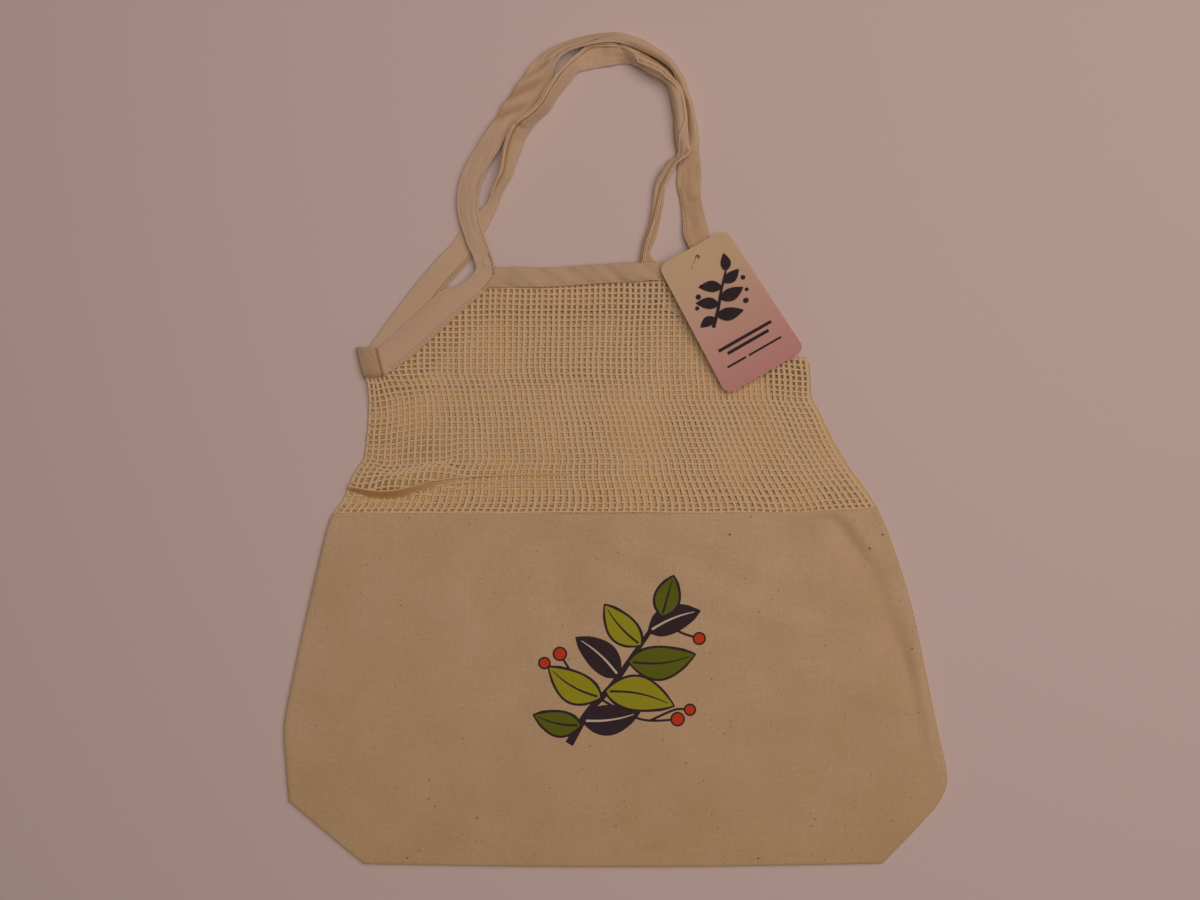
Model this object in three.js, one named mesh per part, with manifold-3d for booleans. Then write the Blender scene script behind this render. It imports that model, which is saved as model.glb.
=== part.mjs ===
// Cotton market bag lying flat and empty, front side up.
// Millimetres. +Y runs from the closed bottom of the bag to the handles, +X to the right, +Z up.
import * as THREE from 'three';
import Module from 'manifold-3d';

const wasm = await Module();
wasm.setup();

// Cloth thicknesses
const CANVAS_T = 0.9;
const NET_T = 0.9;
const TAPE_T = 1.4;
const HEM_T = 1.4;
const CARD_T = 0.5;
const GAP = 0.35;

// Heights of the layers above the ground
const NET_BACK_Z = 0.2;
const TAPE_BACK_Z = NET_BACK_Z + NET_T + GAP;
const FRONT_Z = TAPE_BACK_Z + TAPE_T + GAP;
const TAPE_FRONT_Z = FRONT_Z + NET_T + GAP;
const TAPE_OVER_Z = TAPE_FRONT_Z + 0.3;

// Canvas pouch: lines across it from the bottom fold to the top seam, [left x, left y, right x, right y]
const POUCH_LINES = [
  [-163, -268.7, 173, -268.3],
  [-187.5, -248.4, 191, -249.8],
  [-212, -228, 208, -231.5],
  [-214, -203, 215, -214],
  [-215, -179, 209, -182],
  [-209, -146, 202.5, -151],
  [-198, -96, 191.5, -99],
  [-187.5, -52, 178, -57],
  [-183, -40.6, 169.5, -37.2],
];
const POUCH_SAG = 2.2;
const POUCH_RIM_Z = 2.6;
const POUCH_CROWN = 1.6;
const SEAM_W = 2.2;
const POUCH_COLS = 12;

// Front net: lines across it from the canvas seam to the hem
const NET_FRONT_LINES = [
  [-181.3, -40.1, 167.4, -36.7],
  [-171.6, -24, 155, -20],
  [-162, -7, 146, -8],
  [-160, 4, 139, 4],
  [-159, 20, 130, 23],
  [-160, 38, 124.6, 40],
  [-159, 46.2, 123.5, 53],
  [-149, 46.8, 98.5, 57],
  [-146, 55, 94, 72],
  [-121, 78, 82, 88],
  [-101, 95, 68, 101.5],
  [-86.5, 105.2, 57, 109],
];

// Back net: the back of the bag lies shifted to the left and down behind the front
const NET_BACK_LINES = [
  [-181.3, -40.1, 167.4, -36.7],
  [-171.6, -24, 155, -20],
  [-162, -7, 146, -8],
  [-160, 4, 139, 4],
  [-159, 20, 130, 23],
  [-160, 38, 122, 42],
  [-158, 46.2, 108, 52],
  [-149, 46.8, 96, 56],
  [-146, 56, 86, 66],
  [-118, 91.2, 32, 92],
];

// Hems: four corners, left end then right end, each [lower, upper]
const HEM_FRONT = [[-79.5, 104.6], [-74.5, 117.8], [54.3, 109.6], [47, 121.4]];
const HEM_BACK = [[-111.5, 92.4], [-101.8, 103.6], [21, 92.4], [9, 105.2]];
const HEM_WAVE = 1.2;

// The front lies over the rolled foot of the back handle
const BUMP = { x: 22, y: 110, height: 5.3, spread: 14 };

// Handles: stations along each tape, with points [x, y, z] on its middle surface from its outer
// edge to its inner edge. Two points are a flat tape, four a folded one.
const ON_BACK = TAPE_BACK_Z + TAPE_T / 2;
const ON_FRONT = TAPE_FRONT_Z + TAPE_T / 2;
const OVER_HEM = TAPE_OVER_Z + TAPE_T / 2;
const FRONT_STRAP = [
  [[-161, 57, ON_FRONT], [-151, 47, ON_FRONT]],
  [[-148, 71, 4.1], [-144, 66, 4.8], [-140.5, 61, ON_FRONT], [-137, 56, ON_FRONT]],
  [[-127, 90, 4.1], [-123, 85, 4.8], [-119, 80, ON_FRONT], [-115, 75, ON_FRONT]],
  [[-113, 103, 4.3], [-108.5, 98.5, 4.9], [-104, 93.5, ON_FRONT], [-100, 89, ON_FRONT]],
  [[-101, 106, ON_FRONT], [-86, 101, ON_FRONT]],
  [[-91, 115, 5.2], [-78, 111, 5.4]],
  [[-91, 121, 5.2], [-78, 118, 6]],
  [[-96, 133, 4.5], [-82, 131, 6.5]],
  [[-101.5, 150, 3.5], [-87.5, 147.5, 6.5]],
  [[-102.5, 166.5, 3], [-88.5, 164, 6]],
  [[-98, 182, 3.5], [-84, 179, 6]],
  [[-90, 195.5, 4], [-75.5, 192.5, 7]],
  [[-81, 209.5, 4.5], [-67, 206.5, 6.5]],
  [[-71, 225.5, 5], [-54, 218, 6]],
  [[-59, 242.5, 4.5], [-42.5, 234, 5.5]],
  [[-48.5, 255.5, 3], [-38.5, 248, 8]],
  [[-36, 263.5, 1], [-31, 256, 8]],
  [[-18.5, 268.5, 1], [-16, 260.5, 8.8]],
  [[-0.5, 269.5, 1], [-0.5, 268, 7], [-0.5, 265, 10], [-0.5, 261.5, 9]],
  [[17, 264, 1], [17, 263, 8], [15.8, 260, 12], [14.3, 257, 9.2]],
  [[32, 255, 1], [32, 254, 8], [31, 251.5, 12], [29.6, 249, 9]],
  [[38, 249, 1], [38, 248, 6.5], [37, 245.5, 10.5], [36, 243.4, 8.5]],
  [[42, 243, 1], [42.5, 242.5, 5], [41, 240.5, 8], [38.8, 239, 6]],
  [[45.5, 233.5, 1], [46.2, 233, 5], [44.8, 232, 7.5], [42.5, 231, 5]],
  [[48.5, 224, 1], [49.2, 223.5, 5], [47.8, 223, 7.5], [45.5, 222.5, 5]],
  [[51, 212.5, 1], [51.7, 212, 5], [50, 211.5, 7.3], [47, 211, 4.5]],
  [[52, 204, 1], [53, 204, 5], [50.5, 203.5, 6.8], [46.5, 203, 4]],
  [[52.5, 198, 1], [53.5, 198, 4.5], [50.5, 197.5, 5], [45, 197, 2.2]],
  [[54.5, 190.5, 1.5], [51, 190, 2.5], [47, 189.5, 2.5], [42, 189, 1]],
  [[55.5, 180, 2], [40, 180, 1]],
  [[55, 168.5, 2], [50, 169, 3], [45, 169.5, 2], [40, 170, 1]],
  [[56.5, 157, 3], [42.5, 157.5, 1]],
  [[59.5, 146, 1.5], [54, 146.5, 3], [49, 147, 1.8], [43.5, 147, 2.5]],
  [[61.5, 137, 3], [44, 138.5, 3]],
  [[66, 127.5, 5.6], [50, 125, 5.6]],
  [[71, 119, OVER_HEM], [58, 108, OVER_HEM]],
  [[87, 103, ON_FRONT], [73.5, 91.5, ON_FRONT]],
  [[103.5, 83, ON_FRONT], [86.5, 74, ON_FRONT]],
  [[109.5, 72, ON_FRONT], [92.5, 64, ON_FRONT]],
];
const BACK_STRAP = [
  [[-163, 61, ON_BACK], [-150, 52, ON_BACK]],
  [[-150, 80, ON_BACK], [-137, 70, ON_BACK]],
  [[-128.5, 108.5, ON_BACK], [-115.5, 98.5, ON_BACK]],
  [[-116, 123, ON_BACK], [-103.5, 113, ON_BACK]],
  [[-106, 134, 1.3], [-93.5, 124, 1.3]],
  [[-98, 146, 1], [-87.5, 135.5, 1]],
  [[-84, 158.5, 4.5], [-78.5, 153, 1]],
  [[-79, 167.5, 7], [-76.5, 168, 8.5], [-74.5, 168, 5], [-73, 168, 1]],
  [[-74, 178.5, 9.5], [-72, 178.5, 11], [-70, 178, 6], [-67.5, 178, 1]],
  [[-71, 196, 10.5], [-69, 196, 12], [-66, 195, 6.5], [-61.5, 194, 1]],
  [[-65.5, 208, 11.5], [-63.5, 207, 13], [-60.5, 205, 7], [-58, 203, 1]],
  [[-56.5, 214.5, 12.5], [-54.5, 213.5, 14], [-53, 213, 7], [-52, 212, 1]],
  [[-49, 222, 13], [-47, 221.5, 14], [-45, 221, 7], [-43, 220.5, 1]],
  [[-43.5, 231.5, 13], [-41.5, 231, 14], [-39.5, 230.5, 7], [-37, 230, 1]],
  [[-35.5, 243, 9], [-33.5, 243, 10.5], [-31.5, 241.5, 6], [-29, 239.5, 1]],
  [[-29.5, 250, 6.5], [-28, 248.5, 7.5], [-26.5, 246.5, 4], [-25, 244.5, 1]],
  [[-22.5, 257.5, 5], [-20, 246, 1]],
  [[-15.5, 262, 5.6], [-13, 247.5, 1]],
  [[-2, 261.8, 7.2], [-4, 249, 1]],
  [[7, 260, 6.5], [5.5, 257, 8], [5, 254, 4.5], [5, 250.5, 1]],
  [[17.5, 256, 6], [15.5, 249.5, 12], [14, 247.8, 7.5], [15.5, 249, 1]],
  [[28, 248.8, 6], [24.5, 245.8, 12.5], [22.5, 241.8, 9], [25, 244, 1]],
  [[36, 240, 9.4], [33.3, 239.2, 12.3], [31.8, 237, 8.5], [33, 238.5, 1]],
  [[42.6, 230.5, 10], [39.5, 229.5, 10.5], [37, 229, 9], [35.5, 229.5, 1]],
  [[46, 214.5, 10], [42.5, 214, 10], [39.8, 214, 8.5], [37.8, 214.5, 1]],
  [[46.5, 203, 9.5], [43, 202.5, 9.5], [40.3, 202, 8], [38.3, 202, 1]],
  [[47, 197, 9.3], [43.5, 197, 9], [41, 197, 6], [39, 197, 1]],
  [[47, 190.5, 9], [44, 190, 8.5], [41, 190, 5], [39, 190.5, 1]],
  [[38, 182.5, 9.5], [36, 184.5, 8.5], [34.5, 185.5, 5], [33, 185.5, 1]],
  [[33.5, 174, 7], [29.5, 176, 6.5], [28, 177, 3.5], [30.5, 174.5, 1]],
  [[30.5, 166.5, 5.5], [26, 168.5, 4.8], [26.5, 168.5, 2.2], [32, 167, 1]],
  [[26, 148.5, 5], [23.5, 149.5, 4.6], [23.8, 149.8, 2.2], [29.5, 151, 1]],
  [[21.5, 134.5, 5], [19, 135, 4.6], [19.3, 135.3, 2.2], [26, 136.5, 1]],
  [[19.3, 125, 5], [17, 125, 4.6], [17.3, 125.2, 2.2], [22.5, 127.5, 1]],
  [[19, 118, 4.6], [17.2, 117.5, 4.4], [17.8, 117, 2.2], [28, 119.5, 1.8]],
  [[20, 105, ON_BACK], [33, 111, ON_BACK]],
  [[33, 91, ON_BACK], [43, 104, ON_BACK]],
  [[73, 71, ON_BACK], [80, 86, ON_BACK]],
  [[100, 62, ON_BACK], [106, 78, ON_BACK]],
];
const STRAP_STEPS = 3;
const STRAP_COLS = 9;
const STRAP_EDGE_POINTS = 4;

// Tape wrapped round each end of the side seams
const WRAP_W = 18.5;
const WRAP_L = 18.6;
const WRAP_T = 1.1;
const WRAP_H = 7.4;
const WRAP_LEFT = { x: -159.6, y: 56.8, turn: -3 };
const WRAP_RIGHT = { x: 104.5, y: 69.5, turn: 210 };

// Hang tag: [x, y, height of underside] of its corners
const TAG = [
  [27.2, 117.4, 11], [70.4, 141.4, 9.6], [121.7, 64, 9], [71.4, 35.1, 6],
];
const TAG_CORNER_R = 5.5;
const TAG_HOLE = { u: 0.5, v: 0.075, r: 1.5 };
const PIN_R = 0.45;
const PIN_REACH = 8;

const COTTON = { color: '#d4c2a3', roughness: 0.95, metalness: 0 };
const COLOURS = {
  canvas: COTTON,
  tape: { color: '#dccaab', roughness: 0.93, metalness: 0 },
  net: { color: '#d9c49a', roughness: 0.95, metalness: 0 },
  card: { color: '#e6c9a6', roughness: 0.6, metalness: 0 },
  clear_plastic: { color: '#d8d2cc', roughness: 0.3, metalness: 0 },
};

const bag = new THREE.Group();
bag.name = 'mesh_market_bag';

function addMesh(name, geometry, colour) {
  const mesh = new THREE.Mesh(geometry, new THREE.MeshStandardMaterial(COLOURS[colour]));
  mesh.name = name;
  bag.add(mesh);
}

const rad = THREE.MathUtils.degToRad;
const mix = (a, b, t) => a + (b - a) * t;

function frontLift(x, y) {
  const d2 = (x - BUMP.x) ** 2 + (y - BUMP.y) ** 2;
  return BUMP.height * Math.exp(-d2 / (2 * BUMP.spread ** 2));
}

// Closed slab on a grid: plan(u, v) gives [x, y]; low and high give the two faces' heights.
function slab(cols, rows, plan, low, high) {
  const positions = [];
  const index = [];
  const at = (side, i, j) => (side * (rows + 1) + j) * (cols + 1) + i;
  for (const height of [low, high]) {
    for (let j = 0; j <= rows; j += 1) {
      for (let i = 0; i <= cols; i += 1) {
        const [x, y] = plan(i / cols, j / rows);
        positions.push(x, y, height(x, y, i / cols, j / rows));
      }
    }
  }
  const quad = (a, b, c, d) => index.push(a, b, c, a, c, d);
  for (let j = 0; j < rows; j += 1) {
    for (let i = 0; i < cols; i += 1) {
      quad(at(1, i, j), at(1, i + 1, j), at(1, i + 1, j + 1), at(1, i, j + 1));
      quad(at(0, i, j), at(0, i, j + 1), at(0, i + 1, j + 1), at(0, i + 1, j));
    }
  }
  for (let i = 0; i < cols; i += 1) {
    quad(at(0, i, 0), at(0, i + 1, 0), at(1, i + 1, 0), at(1, i, 0));
    quad(at(0, i + 1, rows), at(0, i, rows), at(1, i, rows), at(1, i + 1, rows));
  }
  for (let j = 0; j < rows; j += 1) {
    quad(at(0, 0, j + 1), at(0, 0, j), at(1, 0, j), at(1, 0, j + 1));
    quad(at(0, cols, j), at(0, cols, j + 1), at(1, cols, j + 1), at(1, cols, j));
  }
  return buffer(positions, index);
}

function buffer(positions, index) {
  const geometry = new THREE.BufferGeometry();
  geometry.setAttribute('position', new THREE.Float32BufferAttribute(positions, 3));
  geometry.setIndex(index);
  return geometry;
}

function toManifold(geometry) {
  return new wasm.Manifold(new wasm.Mesh({
    numProp: 3,
    vertProperties: new Float32Array(geometry.getAttribute('position').array),
    triVerts: new Uint32Array(geometry.getIndex().array),
  }));
}

function fromManifold(solid) {
  const mesh = solid.getMesh();
  const positions = [];
  for (let i = 0; i < mesh.numVert; i += 1) {
    for (let k = 0; k < 3; k += 1) positions.push(mesh.vertProperties[i * mesh.numProp + k]);
  }
  return buffer(positions, Array.from(mesh.triVerts));
}

// Point on a panel given by lines across it; inset moves it in from the left and right edges.
function acrossLines(lines, u, v, inset = 0) {
  const place = Math.min(Math.max(v, 0), 1) * (lines.length - 1);
  const k = Math.min(Math.floor(place), lines.length - 2);
  const f = place - k;
  const [xl, yl, xr, yr] = lines[k].map((value, n) => mix(value, lines[k + 1][n], f));
  return [mix(xl + inset, xr - inset, u), mix(yl, yr, u)];
}

// Canvas pouch: closed at the sides and the bottom, open where the nets join it
function pouchPlan(inset, low, high) {
  return (u, v) => {
    const t = mix(low, high, v);
    const [x, y] = acrossLines(POUCH_LINES, u, t, inset);
    return [x, y - POUCH_SAG * (1 - t) ** 6 * Math.sin(Math.PI * u)];
  };
}
function pouchTop(u, v) {
  const across = 1 - Math.abs(2 * u - 1) ** 4;
  const along = Math.sin(Math.PI * Math.min(v * 1.02, 1)) ** 0.6;
  return mix(POUCH_RIM_Z, FRONT_Z + CANVAS_T, v ** 2) + POUCH_CROWN * across * along;
}
{
  const rows = 2 * (POUCH_LINES.length - 1);
  const outer = slab(POUCH_COLS, rows, pouchPlan(0, 0, 1), () => 0, (x, y, u, v) => pouchTop(u, v));
  const start = 0.02;
  const hollow = slab(
    POUCH_COLS, rows, pouchPlan(SEAM_W, start, 1),
    () => CANVAS_T,
    (x, y, u, v) => pouchTop(u, mix(start, 1, v)) - CANVAS_T,
  );
  // the hollow runs out past the top seam so the pouch is open there
  const position = hollow.getAttribute('position');
  for (let i = 0; i < position.count; i += 1) {
    const row = Math.floor(i / (POUCH_COLS + 1)) % (rows + 1);
    if (row === rows) position.setY(i, position.getY(i) + 2);
  }
  addMesh('canvas_pouch', fromManifold(toManifold(outer).subtract(toManifold(hollow))), 'canvas');
}

// Nets: each stands in for a sheet of open netting
function netSlab(lines, cols, rowsPerLine, base, lift) {
  return slab(
    cols, rowsPerLine * (lines.length - 1), (u, v) => acrossLines(lines, u, v),
    (x, y) => base + lift(x, y), (x, y) => base + NET_T + lift(x, y),
  );
}
addMesh('net_back', netSlab(NET_BACK_LINES, 8, 1, NET_BACK_Z, () => 0), 'net');
addMesh('net_front', netSlab(NET_FRONT_LINES, 18, 2, FRONT_Z, frontLift), 'net');

// Hems along the top of each net
function hem(corners, base, lift) {
  const [leftLow, leftHigh, rightLow, rightHigh] = corners;
  return slab(24, 2, (u, v) => {
    const x = mix(mix(leftLow[0], rightLow[0], u), mix(leftHigh[0], rightHigh[0], u), v);
    const y = mix(mix(leftLow[1], rightLow[1], u), mix(leftHigh[1], rightHigh[1], u), v);
    return [x, y + HEM_WAVE * Math.sin(3 * Math.PI * u) * Math.sin(Math.PI * u)];
  }, (x, y) => base + lift(x, y), (x, y) => base + HEM_T + lift(x, y));
}
addMesh('hem_back', hem(HEM_BACK, TAPE_BACK_Z, () => 0), 'tape');
addMesh('hem_front', hem(HEM_FRONT, TAPE_FRONT_Z, frontLift), 'tape');

// A smooth curve through rows of numbers; place counts in rows
function through(rows, place) {
  const k = Math.min(Math.floor(place), rows.length - 2);
  const t = place - k;
  const row = (n) => rows[Math.min(Math.max(n, 0), rows.length - 1)];
  const [a, b, c, d] = [row(k - 1), row(k), row(k + 1), row(k + 2)];
  return b.map((value, i) => value + 0.5 * t * (c[i] - a[i]
    + t * (2 * a[i] - 5 * value + 4 * c[i] - d[i] + t * (3 * (value - c[i]) + d[i] - a[i]))));
}

// Handle tape: a band swept through the sections, thickened to both sides of its middle surface
function strap(stations) {
  const sections = stations.map((points) => {
    if (points.length === STRAP_EDGE_POINTS) return points.flat();
    const [outer, inner] = points;
    return [0, 1 / 3, 2 / 3, 1].flatMap((f) => outer.map((value, i) => mix(value, inner[i], f)));
  });
  const rings = (stations.length - 1) * STRAP_STEPS;
  const middle = [];
  for (let n = 0; n <= rings; n += 1) {
    const flat = through(sections, n / STRAP_STEPS);
    const points = [0, 3, 6, 9].map((k) => flat.slice(k, k + 3));
    middle.push(Array.from({ length: STRAP_COLS + 1 }, (_, k) => new THREE.Vector3(
      ...through(points, (k / STRAP_COLS) * (STRAP_EDGE_POINTS - 1)),
    )));
  }
  const at = (n, k) => middle[Math.min(Math.max(n, 0), rings)][Math.min(Math.max(k, 0), STRAP_COLS)];
  const positions = [];
  middle.forEach((line, n) => {
    const offsets = line.map((point, k) => {
      const along = at(n + 1, k).clone().sub(at(n - 1, k));
      const across = at(n, k + 1).clone().sub(at(n, k - 1));
      return across.cross(along).normalize().multiplyScalar(TAPE_T / 2);
    });
    const under = line.map((point, k) => point.clone().sub(offsets[k]));
    const upper = line.map((point, k) => point.clone().add(offsets[k])).reverse();
    for (const point of [...under, ...upper]) {
      positions.push(point.x, point.y, Math.max(point.z, 0));
    }
  });
  const ringSize = 2 * (STRAP_COLS + 1);
  const index = [];
  for (let n = 0; n < rings; n += 1) {
    for (let k = 0; k < ringSize; k += 1) {
      const a = n * ringSize + k;
      const b = n * ringSize + ((k + 1) % ringSize);
      index.push(a, b + ringSize, b, a, a + ringSize, b + ringSize);
    }
  }
  for (const [ring, flip] of [[0, true], [rings, false]]) {
    const first = ring * ringSize;
    for (let k = 0; k < STRAP_COLS; k += 1) {
      const a = first + k;
      const b = first + k + 1;
      const c = first + ringSize - 2 - k;
      const d = first + ringSize - 1 - k;
      if (flip) index.push(a, b, c, a, c, d);
      else index.push(a, c, b, a, d, c);
    }
  }
  return buffer(positions, index);
}
addMesh('strap_back', strap(BACK_STRAP), 'tape');
addMesh('strap_front', strap(FRONT_STRAP), 'tape');

// Side wraps: a tape folded round the ends of the two handles, fold outward
function wrap({ x, y, turn }) {
  const outer = WRAP_H / 2;
  const inner = outer - WRAP_T;
  const profile = new THREE.Shape();
  profile.moveTo(WRAP_W - outer, -outer);
  profile.lineTo(WRAP_W - outer, -inner);
  profile.lineTo(0, -inner);
  profile.absarc(0, 0, inner, -Math.PI / 2, Math.PI / 2, true);
  profile.lineTo(WRAP_W - outer, inner);
  profile.lineTo(WRAP_W - outer, outer);
  profile.lineTo(0, outer);
  profile.absarc(0, 0, outer, Math.PI / 2, -Math.PI / 2, false);
  profile.closePath();
  const geometry = new THREE.ExtrudeGeometry(profile, {
    depth: WRAP_L, bevelEnabled: false, curveSegments: 8,
  });
  geometry.rotateX(Math.PI / 2);
  geometry.translate(-(WRAP_W - 2 * outer) / 2, WRAP_L / 2, outer);
  geometry.rotateZ(rad(turn));
  geometry.translate(x, y, 0);
  return geometry;
}
addMesh('side_wrap_left', wrap(WRAP_LEFT), 'tape');
addMesh('side_wrap_right', wrap(WRAP_RIGHT), 'tape');

// Hang tag: a card with round corners and a hole near its top edge, mapped onto its four corners
const tagWidth = Math.hypot(TAG[1][0] - TAG[0][0], TAG[1][1] - TAG[0][1]);
const tagLength = Math.hypot(TAG[3][0] - TAG[0][0], TAG[3][1] - TAG[0][1]);
function tagPoint(u, v) {
  return [0, 1, 2].map((k) => mix(mix(TAG[0][k], TAG[1][k], u), mix(TAG[3][k], TAG[2][k], u), v));
}
{
  const w = tagWidth;
  const l = tagLength;
  const r = TAG_CORNER_R;
  const outline = new THREE.Shape();
  outline.moveTo(r, 0);
  outline.lineTo(w - r, 0);
  outline.absarc(w - r, r, r, -Math.PI / 2, 0, false);
  outline.absarc(w - r, l - r, r, 0, Math.PI / 2, false);
  outline.absarc(r, l - r, r, Math.PI / 2, Math.PI, false);
  outline.absarc(r, r, r, Math.PI, 1.5 * Math.PI, false);
  const hole = new THREE.Path();
  hole.absarc(TAG_HOLE.u * w, TAG_HOLE.v * l, TAG_HOLE.r, 0, 2 * Math.PI, true);
  outline.holes.push(hole);
  const geometry = new THREE.ExtrudeGeometry(outline, {
    depth: CARD_T, bevelEnabled: false, curveSegments: 7,
  });
  const position = geometry.getAttribute('position');
  for (let i = 0; i < position.count; i += 1) {
    const [x, y, z] = tagPoint(position.getX(i) / w, position.getY(i) / l);
    position.setXYZ(i, x, y, z + CARD_T - position.getZ(i));
  }
  addMesh('hang_tag', geometry, 'card');
}

// Plastic pin: one thin filament up through the hole and down along the face of the tag
{
  const [x, y, z] = tagPoint(TAG_HOLE.u, TAG_HOLE.v);
  const top = z + CARD_T + PIN_R + 0.3;
  const path = new THREE.CatmullRomCurve3([
    new THREE.Vector3(x, y, z - 1.2),
    new THREE.Vector3(x, y, z + CARD_T * 0.6),
    new THREE.Vector3(x - 0.5, y - 0.9, top + 0.5),
    new THREE.Vector3(x - PIN_REACH * 0.25, y - PIN_REACH * 0.55, top),
    new THREE.Vector3(x - PIN_REACH * 0.4, y - PIN_REACH * 0.92, top),
  ]);
  const disc = new THREE.Shape();
  disc.absarc(0, 0, PIN_R, 0, 2 * Math.PI, false);
  addMesh('tag_pin', new THREE.ExtrudeGeometry(disc, {
    steps: 14, curveSegments: 4, bevelEnabled: false, extrudePath: path,
  }), 'clear_plastic');
}

export default bag;
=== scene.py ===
"""Cotton mesh market bag, lying flat and empty with its front up."""
import math
import random

import bmesh
import bpy
import numpy as np
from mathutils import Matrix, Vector, noise


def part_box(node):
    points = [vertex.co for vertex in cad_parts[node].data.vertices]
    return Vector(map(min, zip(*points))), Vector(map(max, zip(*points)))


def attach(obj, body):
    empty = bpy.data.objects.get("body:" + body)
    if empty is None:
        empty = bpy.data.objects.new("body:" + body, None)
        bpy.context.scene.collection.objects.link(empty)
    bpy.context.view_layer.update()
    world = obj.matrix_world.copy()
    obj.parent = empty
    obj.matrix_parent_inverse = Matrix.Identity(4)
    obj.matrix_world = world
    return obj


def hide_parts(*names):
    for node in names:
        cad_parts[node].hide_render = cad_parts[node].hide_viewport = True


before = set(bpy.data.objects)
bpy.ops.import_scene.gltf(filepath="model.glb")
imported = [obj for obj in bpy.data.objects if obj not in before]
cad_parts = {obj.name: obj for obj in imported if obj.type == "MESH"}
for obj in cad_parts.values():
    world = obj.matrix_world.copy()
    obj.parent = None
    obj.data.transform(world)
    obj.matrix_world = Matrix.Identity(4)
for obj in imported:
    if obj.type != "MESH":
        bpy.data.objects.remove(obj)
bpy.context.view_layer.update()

MM = 0.001
# The tapes' lower faces go no lower than this, in millimetres
TAPE_LOW_Z = 0.03
# Distance in a weave map between the two faces of a tape, in millimetres
UV_GAP = 40


# ---------------------------------------------------------------- small tools

def mix(a, b, t):
    return a + (b - a) * t


def smooth(low, high, value):
    """Soft step from 0 at low to 1 at high; high may lie below low."""
    t = min(max((value - low) / (high - low), 0.0), 1.0)
    return t * t * (3 - 2 * t)


def bell(off, width):
    return math.exp(-(off / width) ** 2)


def between(first, last, ease, place):
    """1 between two places, easing to 0 at both."""
    return smooth(first, first + ease, place) * smooth(last, last - ease, place)


def spline(stations, place):
    """Values at a place along a list of stations, on a smooth curve through them."""
    last = len(stations) - 1
    place = min(max(place, 0.0), last - 1e-9)
    k = int(place)
    f = place - k
    a, b, c, d = (stations[min(max(k + n, 0), last)] for n in (-1, 0, 1, 2))
    return [
        0.5 * (2 * q + (r - p) * f + (2 * p - 5 * q + 4 * r - s) * f * f
               + (3 * q - p - 3 * r + s) * f ** 3)
        for p, q, r, s in zip(a, b, c, d)
    ]


def line_through(points, value):
    """Height of a broken line at a value, from [value, height] pairs in rising order."""
    if value <= points[0][0]:
        return points[0][1]
    for (x0, y0), (x1, y1) in zip(points, points[1:]):
        if value <= x1:
            return mix(y0, y1, (value - x0) / (x1 - x0))
    return points[-1][1]


def ripple(x, y, size, seed=0.0):
    """Soft unevenness from -1 to 1, for a size in millimetres."""
    return noise.noise(Vector((x / size, y / size, seed)))


def finish_piece(piece, material, slot, *nodes):
    piece.data.materials.clear()
    piece.data.materials.append(material)
    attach(piece, "root")
    if nodes:
        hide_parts(*nodes)


def new_piece(name, vertices, faces, material, slot, *nodes, uv=None, folds=None):
    """A finished mesh piece from points in millimetres; folds is its "fold" attribute, the amount of
    painted shade.
    """
    mesh = bpy.data.meshes.new(name)
    mesh.from_pydata([(x * MM, y * MM, z * MM) for x, y, z in vertices], [], faces)
    if uv is not None:
        layer = mesh.uv_layers.new(name="cloth")
        flat = [c for face in faces for v in face for c in uv[v]]
        layer.data.foreach_set("uv", flat)
    if folds is not None:
        mesh.attributes.new("fold", "FLOAT", "POINT").data.foreach_set("value", folds)
    mesh.validate()
    mesh.polygons.foreach_set("use_smooth", [True] * len(mesh.polygons))
    piece = bpy.data.objects.new(name, mesh)
    bpy.context.collection.objects.link(piece)
    finish_piece(piece, material, slot, *nodes)
    return piece


def ring_faces(rings, size):
    """Faces of a closed body from rings of points, one after another, with both ends shut."""
    faces = []
    for start in range(0, (rings - 1) * size, size):
        for k in range(size):
            a, b = start + k, start + (k + 1) % size
            faces.append((a, a + size, b + size, b))
    faces.append(tuple(range(size)))
    faces.append(tuple((rings - 1) * size + k for k in reversed(range(size))))
    return faces


def give_thickness(piece, thickness, offset):
    """Turns a sheet into a solid: offset is 0 for both sides alike, -1 for inwards."""
    bpy.ops.object.select_all(action="DESELECT")
    piece.select_set(True)
    bpy.context.view_layer.objects.active = piece
    wall = piece.modifiers.new("wall", "SOLIDIFY")
    wall.thickness = thickness * MM
    wall.offset = offset
    bpy.ops.object.modifier_apply(modifier=wall.name)


def shaped_grid(name, cols, rows, place, thickness):
    """A grid bent to shape and given thickness; place(u, v) is its point in millimetres."""
    bpy.ops.object.select_all(action="DESELECT")
    bpy.ops.mesh.primitive_grid_add(x_subdivisions=cols, y_subdivisions=rows, size=1)
    piece = bpy.context.active_object
    piece.name = piece.data.name = name
    for vertex in piece.data.vertices:
        vertex.co = [c * MM for c in place(vertex.co.x + 0.5, vertex.co.y + 0.5)]
    give_thickness(piece, thickness, 0.0)
    return piece


def face_outwards(piece):
    mesh = bmesh.new()
    mesh.from_mesh(piece.data)
    bmesh.ops.recalc_face_normals(mesh, faces=mesh.faces)
    mesh.to_mesh(piece.data)
    mesh.free()


# ---------------------------------------------------------------- shared material effects

def add_node(tree, kind, place=(0, 0), inputs=None, **settings):
    """A new node; inputs holds a value, or the socket that feeds it, for each input by name."""
    node = tree.nodes.new(kind)
    node.location = place
    for key, value in settings.items():
        setattr(node, key, value)
    set_inputs(tree, node, inputs or {})
    return node


def set_inputs(tree, node, inputs):
    for name, value in inputs.items():
        if isinstance(value, bpy.types.NodeSocket):
            tree.links.new(value, node.inputs[name])
        else:
            node.inputs[name].default_value = value


def math_node(tree, operation, *values, clamp=False):
    inputs = dict(enumerate(values))
    node = add_node(tree, "ShaderNodeMath", (0, 0), inputs, operation=operation, use_clamp=clamp)
    return node.outputs[0]


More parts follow.
